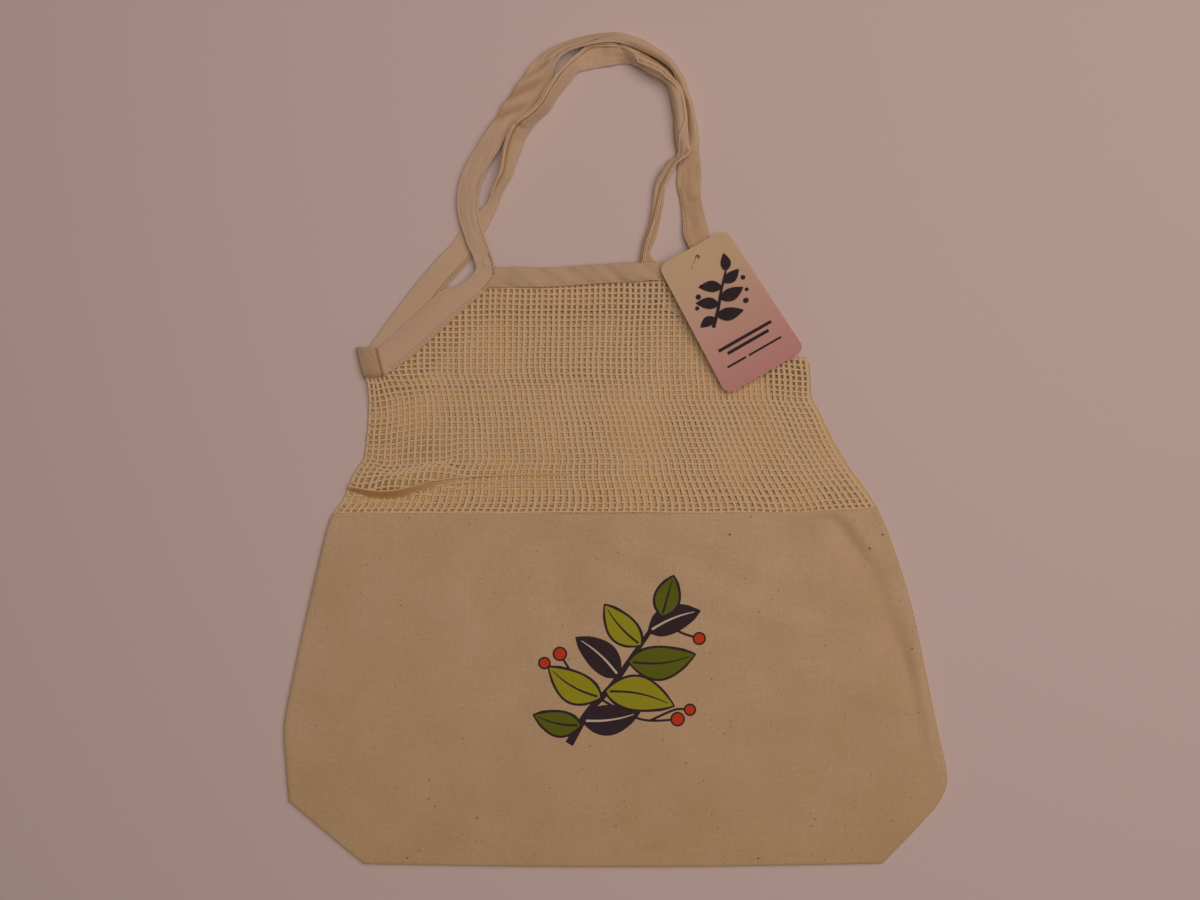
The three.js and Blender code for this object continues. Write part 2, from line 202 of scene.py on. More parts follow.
def noise_node(tree, vector, scale, detail, place=(0, 0)):
    inputs = {"Vector": vector, "Scale": scale, "Detail": detail}
    return add_node(tree, "ShaderNodeTexNoise", place, inputs).outputs["Fac"]


def streak_node(tree, vector, scales, detail):
    """Noise drawn out into streaks, with its own scale along each axis."""
    stretch = add_node(tree, "ShaderNodeMapping", (0, 0), {"Vector": vector, "Scale": scales})
    return noise_node(tree, stretch.outputs[0], 1.0, detail)


def tint_node(tree, amount, plain, tint, place=(0, 0), blend="MIX"):
    """Colour that goes from plain to its tint with an amount."""
    inputs = {"Factor": amount, "A": plain, "B": tint}
    node = add_node(tree, "ShaderNodeMix", place, inputs, data_type="RGBA", blend_type=blend)
    return node.outputs["Result"]


def add_bump(tree, shader, height, strength, depth):
    """Bump for a shader from a height; depth in millimetres."""
    inputs = {"Height": height, "Strength": strength, "Distance": depth * MM}
    bump = add_node(tree, "ShaderNodeBump", (-300, -300), inputs)
    tree.links.new(bump.outputs["Normal"], shader.inputs["Normal"])


def new_group(name, inputs, outputs):
    """Shader node group; inputs and outputs are (name, socket type, default) and (name, type)."""
    tree = bpy.data.node_groups.new(name, "ShaderNodeTree")
    for label, kind, value in inputs:
        socket = tree.interface.new_socket(label, in_out="INPUT", socket_type=kind)
        if value is not None:
            socket.default_value = value
    for label, kind in outputs:
        tree.interface.new_socket(label, in_out="OUTPUT", socket_type=kind)
    start = add_node(tree, "NodeGroupInput", (-900, 0))
    end = add_node(tree, "NodeGroupOutput", (900, 0))
    return tree, start.outputs, end.inputs


def plain_weave_group():
    """Over-and-under weave: height, and a mask of the dips between the yarns, where shade is painted.
    """
    tree, given, out = new_group(
        "plain_weave",
        [("Vector", "NodeSocketVector", None), ("Yarns per metre", "NodeSocketFloat", 1800.0),
         ("Slub", "NodeSocketFloat", 0.35)],
        [("Height", "NodeSocketFloat"), ("Dips", "NodeSocketFloat")],
    )
    vector = given["Vector"]
    sway = math_node(tree, "MULTIPLY", noise_node(tree, vector, 90.0, 2.0), 3.0)
    parts = add_node(tree, "ShaderNodeSeparateXYZ", (0, 0), {0: vector}).outputs
    turn = math_node(tree, "MULTIPLY", given["Yarns per metre"], math.pi)
    waves = [
        math_node(tree, "SINE", math_node(tree, "MULTIPLY_ADD", parts[axis], turn, sway))
        for axis in ("X", "Y")
    ]
    crossing = math_node(tree, "MULTIPLY", *waves)
    slubs = streak_node(tree, vector, (60.0, 900.0, 1.0), 3.0)
    uneven = math_node(tree, "MULTIPLY", slubs, given["Slub"])
    height = math_node(tree, "MULTIPLY_ADD", crossing, 0.35, uneven)
    tree.links.new(height, out["Height"])
    dips = math_node(tree, "MULTIPLY_ADD", crossing, -0.5, 0.5, clamp=True)
    tree.links.new(dips, out["Dips"])
    return tree


def cotton_tone_group():
    """Undyed cotton: colour with soft patches, slubs along both yarns and dark seed flecks."""
    tree, given, out = new_group(
        "cotton_tone",
        [("Vector", "NodeSocketVector", None), ("Cotton", "NodeSocketColor", (0.6, 0.5, 0.35, 1)),
         ("Shadow cotton", "NodeSocketColor", (0.5, 0.4, 0.26, 1)),
         ("Fleck", "NodeSocketColor", (0.2, 0.12, 0.06, 1)),
         ("Fleck amount", "NodeSocketFloat", 0.5)],
        [("Colour", "NodeSocketColor")],
    )
    vector = given["Vector"]
    patches = noise_node(tree, vector, 26.0, 6.0)
    streaks = [
        streak_node(tree, vector, scales, 2.0) for scales in ((30.0, 700.0, 1.0), (700.0, 30.0, 1.0))
    ]
    both = math_node(tree, "ADD", *streaks)
    tone = math_node(tree, "MULTIPLY_ADD", patches, 1.2, -0.3)
    tone = math_node(tree, "SUBTRACT", tone, 0.5)
    tone = math_node(tree, "MULTIPLY_ADD", both, 0.5, tone, clamp=True)
    grain = noise_node(tree, vector, 620.0, 2.0)
    grain = math_node(tree, "MULTIPLY_ADD", grain, 1.3, -0.65)
    tone = math_node(tree, "ADD", tone, grain, clamp=True)
    body = tint_node(tree, tone, given["Shadow cotton"], given["Cotton"])
    flecks = []
    # Two sizes of fleck: cells per metre, size in a cell, share of the cells that have one
    for scale, size, share in ((110.0, 0.075, 0.20), (230.0, 0.10, 0.34)):
        inputs = {"Vector": vector, "Scale": scale}
        cells = add_node(tree, "ShaderNodeTexVoronoi", (0, 0), inputs).outputs
        chosen = add_node(tree, "ShaderNodeSeparateColor", (0, 0), {0: cells["Color"]}).outputs
        near = math_node(tree, "LESS_THAN", cells["Distance"], size)
        rare = math_node(tree, "LESS_THAN", chosen[0], share)
        faint = math_node(tree, "MULTIPLY", chosen[1], given["Fleck amount"])
        spot = math_node(tree, "MULTIPLY", near, rare)
        flecks.append(math_node(tree, "MULTIPLY", spot, faint))
    fleck = math_node(tree, "MAXIMUM", *flecks)
    tree.links.new(tint_node(tree, fleck, body, given["Fleck"]), out["Colour"])
    return tree


WEAVE = plain_weave_group()
COTTON = cotton_tone_group()


def new_material(name):
    material = bpy.data.materials.new(name)
    material.use_nodes = True
    shader = material.node_tree.nodes["Principled BSDF"]
    shader.inputs["IOR"].default_value = 1.45
    return material, material.node_tree, shader


def weave_node(tree, vector, yarns, slub):
    inputs = {"Vector": vector, "Yarns per metre": yarns, "Slub": slub}
    return add_node(tree, "ShaderNodeGroup", (-600, -300), inputs, node_tree=WEAVE).outputs


def cotton_material(name, cotton, shadow, yarns, depth, flecks, slub=0.35, along_uv=False,
                    yellower_below=None, painted_shade_colour=None):
    """Undyed cotton cloth; along_uv makes the weave follow the piece's own UV map.

    yellower_below gives two places along Y in metres, between which the cloth turns darker and yellower
    towards the bottom, and painted_shade_colour is the colour of painted shade that a piece's "fold"
    attribute deepens it with.
    """
    material, tree, shader = new_material(name)
    place = add_node(tree, "ShaderNodeTexCoord", (-1200, 0)).outputs
    vector = place["UV" if along_uv else "Object"]
    weave = weave_node(tree, vector, yarns, slub)
    tone = add_node(tree, "ShaderNodeGroup", (-600, 200), {
        "Vector": vector, "Cotton": (*cotton, 1), "Shadow cotton": (*shadow, 1),
        "Fleck amount": flecks,
    }, node_tree=COTTON)
    # painted shade: the colour darkens in the dips between the yarns
    dip_shade = math_node(tree, "MULTIPLY", weave["Dips"], 0.35)
    colour = tint_node(
        tree, dip_shade, tone.outputs["Colour"], (0.80, 0.76, 0.70, 1), (-300, 200), "MULTIPLY",
    )
    # the cloth turns a little darker and yellower towards the bottom
    if yellower_below is not None:
        parts = add_node(tree, "ShaderNodeSeparateXYZ", (-900, 400), {0: place["Object"]})
        lower = add_node(tree, "ShaderNodeMapRange", (-600, 500), {
            "Value": parts.outputs["Y"], "From Min": yellower_below[0], "From Max": yellower_below[1],
        }, interpolation_type="SMOOTHSTEP")
        yellow_tint = (0.94, 0.93, 0.83, 1)
        colour = tint_node(tree, lower.outputs["Result"], colour, yellow_tint, (-100, 400), "MULTIPLY")
    # painted shade: the piece's "fold" attribute darkens the colour in creases, folds and hollows and
    # along shaded sides
    if painted_shade_colour is not None:
        amount = add_node(tree, "ShaderNodeAttribute", (-600, 700), attribute_name="fold")
        colour = tint_node(
            tree, amount.outputs["Fac"], colour, (*painted_shade_colour, 1), (100, 500), "MULTIPLY",
        )
    add_bump(tree, shader, weave["Height"], 0.5, depth)
    set_inputs(tree, shader, {
        "Base Color": colour, "Roughness": 0.93, "Specular IOR Level": 0.2,
        "Sheen Weight": 0.15, "Sheen Roughness": 0.5,
    })
    return material


CANVAS_COTTON = cotton_material(
    "canvas_cotton", (0.84, 0.71, 0.50), (0.70, 0.59, 0.35), yarns=1500.0, depth=0.10, flecks=1.0,
    yellower_below=(-0.12, -0.28),
)
# the tape takes painted shade from its "fold" attribute
TAPE_COTTON = cotton_material(
    "tape_cotton", (0.85, 0.745, 0.545), (0.77, 0.66, 0.46), yarns=2100.0, depth=0.10,
    flecks=0.3, along_uv=True, painted_shade_colour=(0.70, 0.55, 0.36),
)
# the wraps' cotton is a darker copy of the tape cotton, partly painted shade, and takes painted shade
# from each wrap's "fold" attribute
WRAP_COTTON = cotton_material(
    "wrap_cotton", (0.81, 0.695, 0.48), (0.66, 0.555, 0.375), yarns=1050.0, depth=0.4, flecks=0.3,
    along_uv=True, painted_shade_colour=(0.62, 0.42, 0.24),
)
HEM_COTTON = cotton_material(
    "hem_cotton", (0.77, 0.67, 0.47), (0.70, 0.60, 0.40), yarns=1900.0, depth=0.12, flecks=0.3,
)
# a warmer, deeper copy of the hem cotton for the back hem, seen through the net: painted warm shade
HEM_BACK_SHADE_COTTON = cotton_material(
    "hem_back_shade_cotton", (0.94, 0.72, 0.34), (0.88, 0.64, 0.27), yarns=1900.0, depth=0.12, flecks=0.3,
)
# dark brown for the tapes' stitches: real thread, with the shade of the stitch holes painted into it
STITCH_SHADE_COTTON = cotton_material(
    "stitch_shade_cotton", (0.60, 0.44, 0.25), (0.52, 0.37, 0.20), yarns=5200.0, depth=0.05, flecks=0.0,
)
NET_COTTON = cotton_material(
    "net_cotton", (0.96, 0.86, 0.58), (0.91, 0.80, 0.50), yarns=3400.0, depth=0.10, flecks=0.1,
    slub=0.6,
)
# a warmer, deeper copy of the net cotton for the layers behind the front net: painted warm shade
NET_COTTON_SHADED = cotton_material(
    "net_cotton_shaded", (0.96, 0.77, 0.35), (0.90, 0.70, 0.28), yarns=3400.0, depth=0.10,
    flecks=0.1, slub=0.6,
)
# a deeper copy of the net cotton for the crowded yarns on the fold's steep side: painted shade
PLEAT_SHADE_COTTON = cotton_material(
    "pleat_shade_cotton", (0.92, 0.76, 0.42), (0.85, 0.68, 0.35), yarns=3400.0, depth=0.10,
    flecks=0.1, slub=0.6, painted_shade_colour=(0.80, 0.66, 0.46),
)
# a deep orange-brown copy of the cotton for cloth seen only through the net holes: painted warm shade
BINDING_SHADE_COTTON = cotton_material(
    "binding_shade_cotton", (0.74, 0.53, 0.23), (0.65, 0.45, 0.18), yarns=1900.0, depth=0.12, flecks=0.3,
)
# a pale cotton for the turned edges' ridges: stitched thread, with a painted highlight along the edges
STITCH_HIGHLIGHT_COTTON = cotton_material(
    "stitch_highlight_cotton", (0.97, 0.89, 0.70), (0.92, 0.82, 0.62), yarns=5200.0, depth=0.05, flecks=0.0,
)


def ink_material(name, colour, rough=0.75):
    """Printing ink that sank into the cloth: the weave shows through as bump and thin spots."""
    material, tree, shader = new_material(name)
    place = add_node(tree, "ShaderNodeTexCoord", (-1200, 0)).outputs["Object"]
    weave = weave_node(tree, place, 1500.0, 0.35)
    worn = noise_node(tree, place, 260.0, 3.0, (-600, 200))
    thin = math_node(tree, "MULTIPLY_ADD", worn, 0.5, -0.17, clamp=True)
    paler = [min(c * 1.35 + 0.02, 1.0) for c in colour]
    tint = tint_node(tree, thin, (*colour, 1), (*paler, 1), (-300, 200))
    add_bump(tree, shader, weave["Height"], 0.35, 0.08)
    set_inputs(tree, shader, {"Base Color": tint, "Roughness": rough, "Specular IOR Level": 0.25})
    return material


INK_DARK = ink_material("ink_dark", (0.045, 0.034, 0.045), 0.8)
INK_LIME = ink_material("ink_lime", (0.42, 0.47, 0.022))
INK_LEAF = ink_material("ink_leaf", (0.15, 0.21, 0.012))
INK_RED = ink_material("ink_red", (0.72, 0.07, 0.015))
INK_PALE = ink_material("ink_pale", (0.80, 0.80, 0.62))


# ---------------------------------------------------------------- camera, light and floor

VIEW_CENTRE = (-10.1, -0.3)
VIEW_WIDTH = 780.0
LENS = 35.0
SENSOR = 36.0
LIGHT_PLACE, LIGHT_SIZE, LIGHT_WATTS = (0.5, 0.3, 1.5), 1.8, 12.6
LIGHT_TINT = (1.0, 0.705, 0.615)
ROOM_TINT, ROOM_STRENGTH = (1.0, 0.735, 0.69), 0.125
FLOOR_SIZE, FLOOR_DROP = 8.0, 0.0002

eye_height = VIEW_WIDTH * LENS / SENSOR
lens = bpy.data.cameras.new("photographer")
lens.lens = LENS
lens.sensor_width = SENSOR
camera = bpy.data.objects.new("photographer", lens)
camera.location = (VIEW_CENTRE[0] * MM, VIEW_CENTRE[1] * MM, eye_height * MM)
bpy.context.collection.objects.link(camera)

scene = bpy.context.scene
scene.camera = camera
scene.view_settings.view_transform = "Standard"
scene.view_settings.look = "None"

lamp = bpy.data.lights.new("ceiling", "AREA")
lamp.shape = "DISK"
lamp.size = LIGHT_SIZE
lamp.energy = LIGHT_WATTS
lamp.color = LIGHT_TINT
holder = bpy.data.objects.new("ceiling", lamp)
holder.location = LIGHT_PLACE
holder.rotation_euler = (-Vector(LIGHT_PLACE)).to_track_quat("-Z", "Y").to_euler()
bpy.context.collection.objects.link(holder)

world = bpy.data.worlds.new("room")
world.use_nodes = True
room = world.node_tree.nodes["Background"]
room.inputs["Color"].default_value = (*ROOM_TINT, 1)
room.inputs["Strength"].default_value = ROOM_STRENGTH
scene.world = world

bpy.ops.object.select_all(action="DESELECT")
bpy.ops.mesh.primitive_plane_add(size=FLOOR_SIZE, location=(0, 0, -FLOOR_DROP))
floor = bpy.context.active_object
floor.name = "floor"
floor_paint, floor_tree, floor_shader = new_material("floor_paint")
set_inputs(floor_tree, floor_shader, {
    "Base Color": (0.83, 0.81, 0.80, 1), "Roughness": 0.9, "Specular IOR Level": 0.15,
})
floor.data.materials.append(floor_paint)


# ---------------------------------------------------------------- canvas pouch

# Lines across the pouch from its bottom fold to its top seam: left x, left y, right x, right y
POUCH_LINES = [
    [-163, -268.7, 173, -268.3],
    [-187.5, -248.4, 191, -249.8],
    [-212, -228, 208, -231.5],
    [-214, -203, 215, -214],
    [-215, -179, 209, -182],
    [-209, -146, 202.5, -151],
    [-198, -96, 191.5, -99],
    [-187.5, -52, 178, -57],
    [-183, -40.6, 169.5, -37.2],
]
# The boxed corners end at this line
CORNER_LINE = 2
POUCH_W, POUCH_H = 400, 232
POUCH_COLUMNS, POUCH_ROWS = 180, 120
POUCH_SAG = 2.2
RIM_R, RIM_Z = 3.4, 2.0
# Places across the rounded rim, inwards from its edge
RIM_STEPS = [0, 0.4, 1.0, 1.8, 2.6, RIM_R, 4.8]
CANVAS_T = 0.8
UNDERSIDE_Z = 0.02
# Height of the front's top edge, and how far below the edge the cloth begins to bend to it
TOP_EDGE_Z, TOP_EDGE_BEND = 3.35, 6
# How far the top edge dips, at places from its left end, 0, to its right end, 1
TOP_DIP = [[0, -0.6], [0.5, -2.0], [0.86, -3.1], [1, 0]]
# Sides of the pouch for the front's folds, [y, x] from the bottom up
POUCH_LEFT = [[-268, -165], [-228, -212], [-179, -215], [-96, -198], [-40, -183]]
POUCH_RIGHT = [[-268, 173], [-231, 208], [-214, 215], [-99, 191], [-37, 169]]
# Crest of the main slanting fold, [x, y], and the folds beside it: offset, width, height
FOLD_LINE = [[-60, -38], [-10, -54], [50, -88], [110, -112], [170, -132]]
SLANTING_FOLDS = [(0, 13, 2.3), (-27, 11, 1.3), (30, 12, 1.3)]
# The crease from the top seam near its right end down to the right edge, [y, x]
EDGE_CREASE = [[-172, 199], [-139, 191], [-106, 180], [-77, 168], [-46, 147]]


def pouch_point(u, v):
    """Plan place on the pouch; the boxed corners at the bottom stay straight and sharp."""
    place = v * (len(POUCH_LINES) - 1)
    if place <= CORNER_LINE:
        k = min(int(place), CORNER_LINE - 1)
        row = [mix(a, b, place - k) for a, b in zip(POUCH_LINES[k], POUCH_LINES[k + 1])]
    else:
        row = spline(POUCH_LINES[CORNER_LINE:], place - CORNER_LINE)
    sag = POUCH_SAG * (1 - v) ** 6 * math.sin(math.pi * u)
    wave = 0.5 * ripple(row[0] + 500 * u, 40 * v, 45, 3.1) * v ** 8
    wave += line_through(TOP_DIP, u) * v ** 8
    return mix(row[0], row[2], u), mix(row[1], row[3], u) - sag + wave


def pouch_height(x, y):
    """Height of the front canvas above the ground away from its rim."""
    along = smooth(-272, -36, y)
    inside = line_through(POUCH_RIGHT, y) - x
    side = min(x - line_through(POUCH_LEFT, y), inside)
    fill = (1 - math.exp(-max(side, 0) / 30)) * (1 - math.exp(-max(y + 270.7, 0) / 30))
    z = mix(3.9, 4.0, along ** 2) + 0.9 * fill * math.sin(math.pi * min(along + 0.08, 1)) ** 0.6
    z += 1.3 * ripple(x, y, 62, 1.7) * fill + 0.8 * ripple(x, y, 24, 5.2) * fill
    # a ridge and a hollow beside it, along the right edge
    by_side = smooth(-104, -146, y) * smooth(-240, -160, y)
    z += by_side * (1.3 * bell(inside - 5.5, 3.2) - 1.0 * bell(inside - 12.5, 5))
    # soft upright folds inside the right edge and by the top right corner
    fold = math.sin((x + 0.22 * y) / 9.5 + 1.5 * ripple(x, y, 90, 8.8))
    z += 0.8 * fold * smooth(70, 180, x) * smooth(-250, -120, y) * (1 - math.exp(-side / 14))
    # slanting folds from the middle of the top seam down to the right edge
    for offset, width, height in SLANTING_FOLDS:
        off = y - line_through(FOLD_LINE, x) - offset
        z += height * bell(off, width) * smooth(-60, 20, x) * (1 - math.exp(-side / 16))
    # short puckers below the seam
    z += 0.55 * ripple(x, 3.0, 6.5, 2.9) * math.exp(-max(-38 - y, 0) / 9) * fill
    # the broad crease by the right edge, deepest near the seam
    off = (x - line_through(EDGE_CREASE, y)) * 0.86
    reach = smooth(-172, -132, y) * smooth(-39, -47, y)
    deep = mix(1.0, 1.7, smooth(-80, -55, y))
    z += reach * deep * (1.9 * math.tanh(off / 5.0) - 0.5) * bell(off, 11)
    return z


def build_pouch():
    """Two layers of canvas in one closed sheet, shut flat, with a rounded rim."""
    ends = [d / POUCH_W for d in RIM_STEPS]
    across = [*ends, *np.linspace(ends[-1], 1 - ends[-1], POUCH_COLUMNS)[1:-1]]
    across += [1 - end for end in reversed(ends)]
    up = [d / POUCH_H for d in RIM_STEPS]
    up += list(np.linspace(up[-1], 1, POUCH_ROWS)[1:])
    cols, rows = len(across), len(up)
    vertices, index = [], {}
    for side in ("front", "back"):
        for j, v in enumerate(up):
            for i, u in enumerate(across):
                on_rim = i in (0, cols - 1) or j == 0
                if side == "back" and on_rim:
                    index["back", i, j] = index["front", i, j]
                    continue
                x, y = pouch_point(u, v)
                edge = min(u * POUCH_W, (1 - u) * POUCH_W, v * POUCH_H)
                round_off = math.sqrt(max(1 - max(1 - edge / RIM_R, 0) ** 2, 0))
                face = UNDERSIDE_Z
                if side == "front":
                    bend = smooth(1 - TOP_EDGE_BEND / POUCH_H, 1, v)
                    face = mix(pouch_height(x, y), TOP_EDGE_Z, bend)
                index[side, i, j] = len(vertices)
                vertices.append((x, y, mix(RIM_Z, face, round_off)))
    faces = []
    for j in range(rows - 1):
        for i in range(cols - 1):
            corners = ((i, j), (i + 1, j), (i + 1, j + 1), (i, j + 1))
            faces.append([index["front", *corner] for corner in corners])
            faces.append([index["back", *corners[k]] for k in (0, 3, 2, 1)])
    piece = new_piece("canvas_pouch_cloth", vertices, faces, CANVAS_COTTON, "canvas", "canvas_pouch")
    give_thickness(piece, CANVAS_T, -1)
    return piece


pouch = build_pouch()


# ---------------------------------------------------------------- layers of the upper bag

TAPE_BACK_Z = 1.45
TAPE_FRONT_Z = 4.45
NET_BACK_Z = 0.85
NET_FRONT_Z = 1.30
NET_TOP_Z = 3.70
# How much higher the front net lies where it meets the canvas
SEAM_RISE = 0.9
# The folded foot of the back handle, which lifts what lies over it
BUMP_X, BUMP_Y, BUMP_HEIGHT, BUMP_SPREAD = 22, 110, 2.4, 14


def front_lift(x, y):
    """The front lies over the folded foot of the back handle."""
    return BUMP_HEIGHT * math.exp(-((x - BUMP_X) ** 2 + (y - BUMP_Y) ** 2) / (2 * BUMP_SPREAD ** 2))


# ---------------------------------------------------------------- netting

# Sides of the net, [y, x] from the canvas seam up
FRONT_LEFT = [[-41.5, -182], [-34.6, -176.8], [-27.2, -173.1], [-23.5, -172.2], [-15.1, -168.5],
              [-6.8, -162.4], [4.4, -161], [18.3, -159.4], [32.2, -159.8], [40, -161.5],
              [46, -164.5], [50, -166]]
FRONT_RIGHT = [[-38.2, 168], [-29, 161.5], [-14, 150], [4, 139], [23, 130], [33, 124.8],
               [46, 124.4], [59, 123]]
BACK_LEFT = [[-41.5, -181.2], [-27.2, -172.5], [-15.1, -167.7], [-6.8, -161.6], [4.4, -160.2],
             [46, -159.6]]
BACK_RIGHT = [[-38.2, 167.2], [-14, 149.2], [4, 138.2], [23, 129.2], [33, 124], [59, 122]]
# Top of the net under the tapes and the hem, [x, y]
FRONT_TOP = [[-166, 47], [-149, 51], [-144, 56], [-121, 77], [-98, 98], [-83, 107.5],
             [-61, 107], [12, 110], [57, 111], [68, 101.5], [94, 75], [101, 61], [124, 61]]
BACK_TOP = [[-159, 46], [-149, 50], [-146, 56], [-112, 95], [20, 95], [60, 80], [96, 58], [122, 58]]
# Where the canvas ends and the net begins, [x, y]
SEAM = [[-182, -43.2], [-10, -42.6], [120, -42.6], [168, -39.2]]
NET_FOOT_Y = -42
NET_COLUMNS = 78
# How much higher than its top the net is laid out before it is cut to its outline
NET_SPARE = 4
# Most that a row or an upright yarn lies out of place
ROW_JITTER, COLUMN_JITTER = 0.25, 0.22
# Least points that make a piece of yarn
LEAST_UPRIGHT, LEAST_CROSS = 3, 5
# Height of each row above the seam: squeezed at the seam, tall above it, then even
ROW_STEPS = [2.2, 2.6, 3.6, 4.3, 4.6, 4.5, 4.2, 3.8] + [3.45] * 40
# Line of the fold low on the left, [x, y]
PLEAT = [[-178, -25], [-167, -27], [-160, -28.6], [-152, -29.3], [-144, -29], [-137, -27.8],
         [-122, -23.3], [-107, -21], [-92, -19.8], [-60, -18.6], [40, -18]]
# Where the net is drawn together under the left side wrap, and how widely, in square millimetres
GATHER, GATHER_SPREAD = (-155.0, 43.0), 90


def row_height(row):
    k = min(int(row), len(ROW_STEPS) - 1)
    return sum(ROW_STEPS[:k]) + (row - k) * ROW_STEPS[k]


def pleat_depth(x):
    return smooth(-181, -166, x) * (1 - smooth(-126, -74, x)) + 0.10 * (1 - smooth(-40, 40, x))


def pleat_shift(x, y):
    """The fold low on the left: the net above rides over the net below. Returns dy, dz."""
    depth = pleat_depth(x)
    off = y - line_through(PLEAT, x)
    step = smooth(-1.8, 2.4, off) * math.exp(-max(off - 2.4, 0) / 9)
    under = bell(off + 5.0, 2.4)
    crowd = smooth(-160, -146, x) * (1 - smooth(-114, -98, x))
    pull = -4.0 * math.tanh((off - 13.5) / 5.6) * bell(off - 13.5, 14)
    return depth * 0.8 * under + crowd * pull, depth * (2.6 * step - 0.3 * under)


def gather_shift(x, y):
    """How the net is drawn towards the gathering point. Returns dx, dy."""
    dx, dy = x - GATHER[0], y - GATHER[1]
    draw = math.exp(-(dx * dx / 2 + dy * dy) / GATHER_SPREAD)
    return -0.38 * dx * draw, 1.6 * draw + 0.3 * abs(dx) * draw


def tube(path, half_width, half_height, sides, vertices, faces, turn=0.0, swell=0.0):
    """A closed flattened yarn along a path of points, added to the lists."""
    start = len(vertices)
    path = [Vector(p) for p in path]
    last = len(path) - 1
    for n, point in enumerate(path):
        along = (path[min(n + 1, last)] - path[max(n - 1, 0)]).normalized()
        side = Vector((along.y, -along.x, 0)).normalized()
        up = side.cross(along)
        fuller = 1 + swell * (1 if n % 2 else -1)
        for k in range(sides):
            angle = 2 * math.pi * k / sides + turn
            spot = point + side * (half_width * fuller * math.cos(angle))
            vertices.append(tuple(spot + up * (half_height * math.sin(angle))))
    for n in range(last):
        for k in range(sides):
            a, b = start + n * sides + k, start + n * sides + (k + 1) % sides
            faces.append((a, b, b + sides, a + sides))
    faces.append(tuple(start + k for k in reversed(range(sides))))
    faces.append(tuple(start + last * sides + k for k in range(sides)))


def build_net(name, front, left, right, top, drift, upright, cross, per_cell, offset, seed,
              material, node):
    """Open netting of thick upright yarns and thinner cross yarns that bind them.

    upright and cross are half width, half height and number of sides of a yarn, drift is how far
    the middle yarns bend to the left near the top, per_cell is the number of points for each cell
    of the net, and offset is the net's shift in x and y and the size of its broad sway.
    """
    rng = random.Random(seed)
    vertices, faces = [], []
    top_y = max(p[1] for p in top)
    rows = 1
    while row_height(rows) < top_y - NET_FOOT_Y + NET_SPARE:
        rows += 1
    row_shift = [rng.uniform(-ROW_JITTER, ROW_JITTER) for _ in range(rows + 2)]
    col_shift = [rng.uniform(-COLUMN_JITTER, COLUMN_JITTER) for _ in range(NET_COLUMNS)]
    off_x, off_y, slide = offset

    def row_y(row, x):
        y = line_through(SEAM, x) + row_height(row) + off_y
        y += row_shift[min(int(row + 0.5), rows)] * smooth(0, 4, row)
        dip = smooth(-118, -160, x) * smooth(-30, 15, y)
        return y - 4.6 * dip - 3.0 * smooth(95, 140, x) * smooth(-30, 20, y)

    def column_x(column, y):
        """X of an upright yarn at a height, fanning out towards the canvas."""
        t = column / (NET_COLUMNS - 1)
        bend = drift * math.sin(math.pi * t) * smooth(20, 110, y)
        return mix(line_through(left, y), line_through(right, y), t) - bend

    def crossing(column, row):
        """Plan place where an upright yarn meets a row."""
        y = row_y(row, column_x(column, NET_FOOT_Y + row_height(row)))
        return column_x(column, y) + off_x * smooth(-44, -30, y), y

    def settle(x, y, up):
        """Point of a yarn in space, with the net's sway, folds and rise over the layers below."""
        sway_x = 0.55 * ripple(x, y, 24, seed) + 0.34 * ripple(x, y, 9, seed + 4)
        sway_y = 0.75 * ripple(x, y, 30, seed + 9) + 0.30 * ripple(x, y, 9, seed + 6)
        sway_x += slide * ripple(x, y, 60, seed + 12)
        sway_y += slide * ripple(x, y, 52, seed + 15)
        gather_x, gather_y = gather_shift(x, y)
        sway_x += gather_x
        sway_y += gather_y
        if not front:
            return x + sway_x, y + sway_y, max(NET_BACK_Z + up + 0.1 * ripple(x, y, 40, seed), 0.25)
        dy, dz = pleat_shift(x, y)
        rise = 1 - smooth(9, 30, line_through(top, x) - y)
        z = mix(NET_FRONT_Z, NET_TOP_Z, rise) + up + dz + front_lift(x, y)
        z += SEAM_RISE * (1 - smooth(1, 9, y - line_through(SEAM, x)))
        z += 0.45 * (1 - rise) * ripple(x, y, 34, seed + 2) + 0.2 * (1 - rise)
        folds = bell(y - 17.5, 2.2) + 0.8 * bell(y - 9, 3.2)
        z += 1.5 * folds * (1 - smooth(-152, -132, x))
        side = min(x - line_through(left, y), line_through(right, y) - x)
        z -= (z - 1.0) * 0.55 * math.exp(-max(side, 0) / 2.5) * (1 - rise)
        return x + sway_x, y + dy + sway_y, max(z, 0.55)

    for column in range(NET_COLUMNS):
        path = []
        for n in range(rows * per_cell + 1):
            row = n / per_cell
            x, y = crossing(column, row)
            x += col_shift[column] * smooth(-40, -20, y)
            if y > line_through(top, x):
                break
            bob = 0.14 * math.cos(math.pi * row) * (1 if column % 2 else -1)
            wriggle = 0.17 * math.sin(2 * math.pi * row + column * 1.3)
            path.append(settle(x + wriggle, y, bob + 0.10))
        if len(path) >= LEAST_UPRIGHT:
            swell = rng.uniform(0.88, 1.10)
            half_width, half_height, sides = upright
            tube(path, half_width * swell, half_height * swell, sides, vertices, faces, 0.0, 0.07)
    for row in range(rows + 1):
        path = []
        for n in range((NET_COLUMNS - 1) * per_cell + 1):
            column = n / per_cell
            x, y = crossing(column, row)
            if y > line_through(top, x) or y < line_through(SEAM, x) - 1.0:
                if len(path) >= LEAST_CROSS:
                    tube(path, *cross, vertices, faces, 0.4)
                path = []
                continue
            bob = 0.20 * math.cos(math.pi * column + math.pi * (row % 2))
            path.append(settle(x, y, bob))
        if len(path) >= LEAST_CROSS:
            tube(path, *cross, vertices, faces, 0.4)
    return new_piece(name, vertices, faces, material, "net", node)


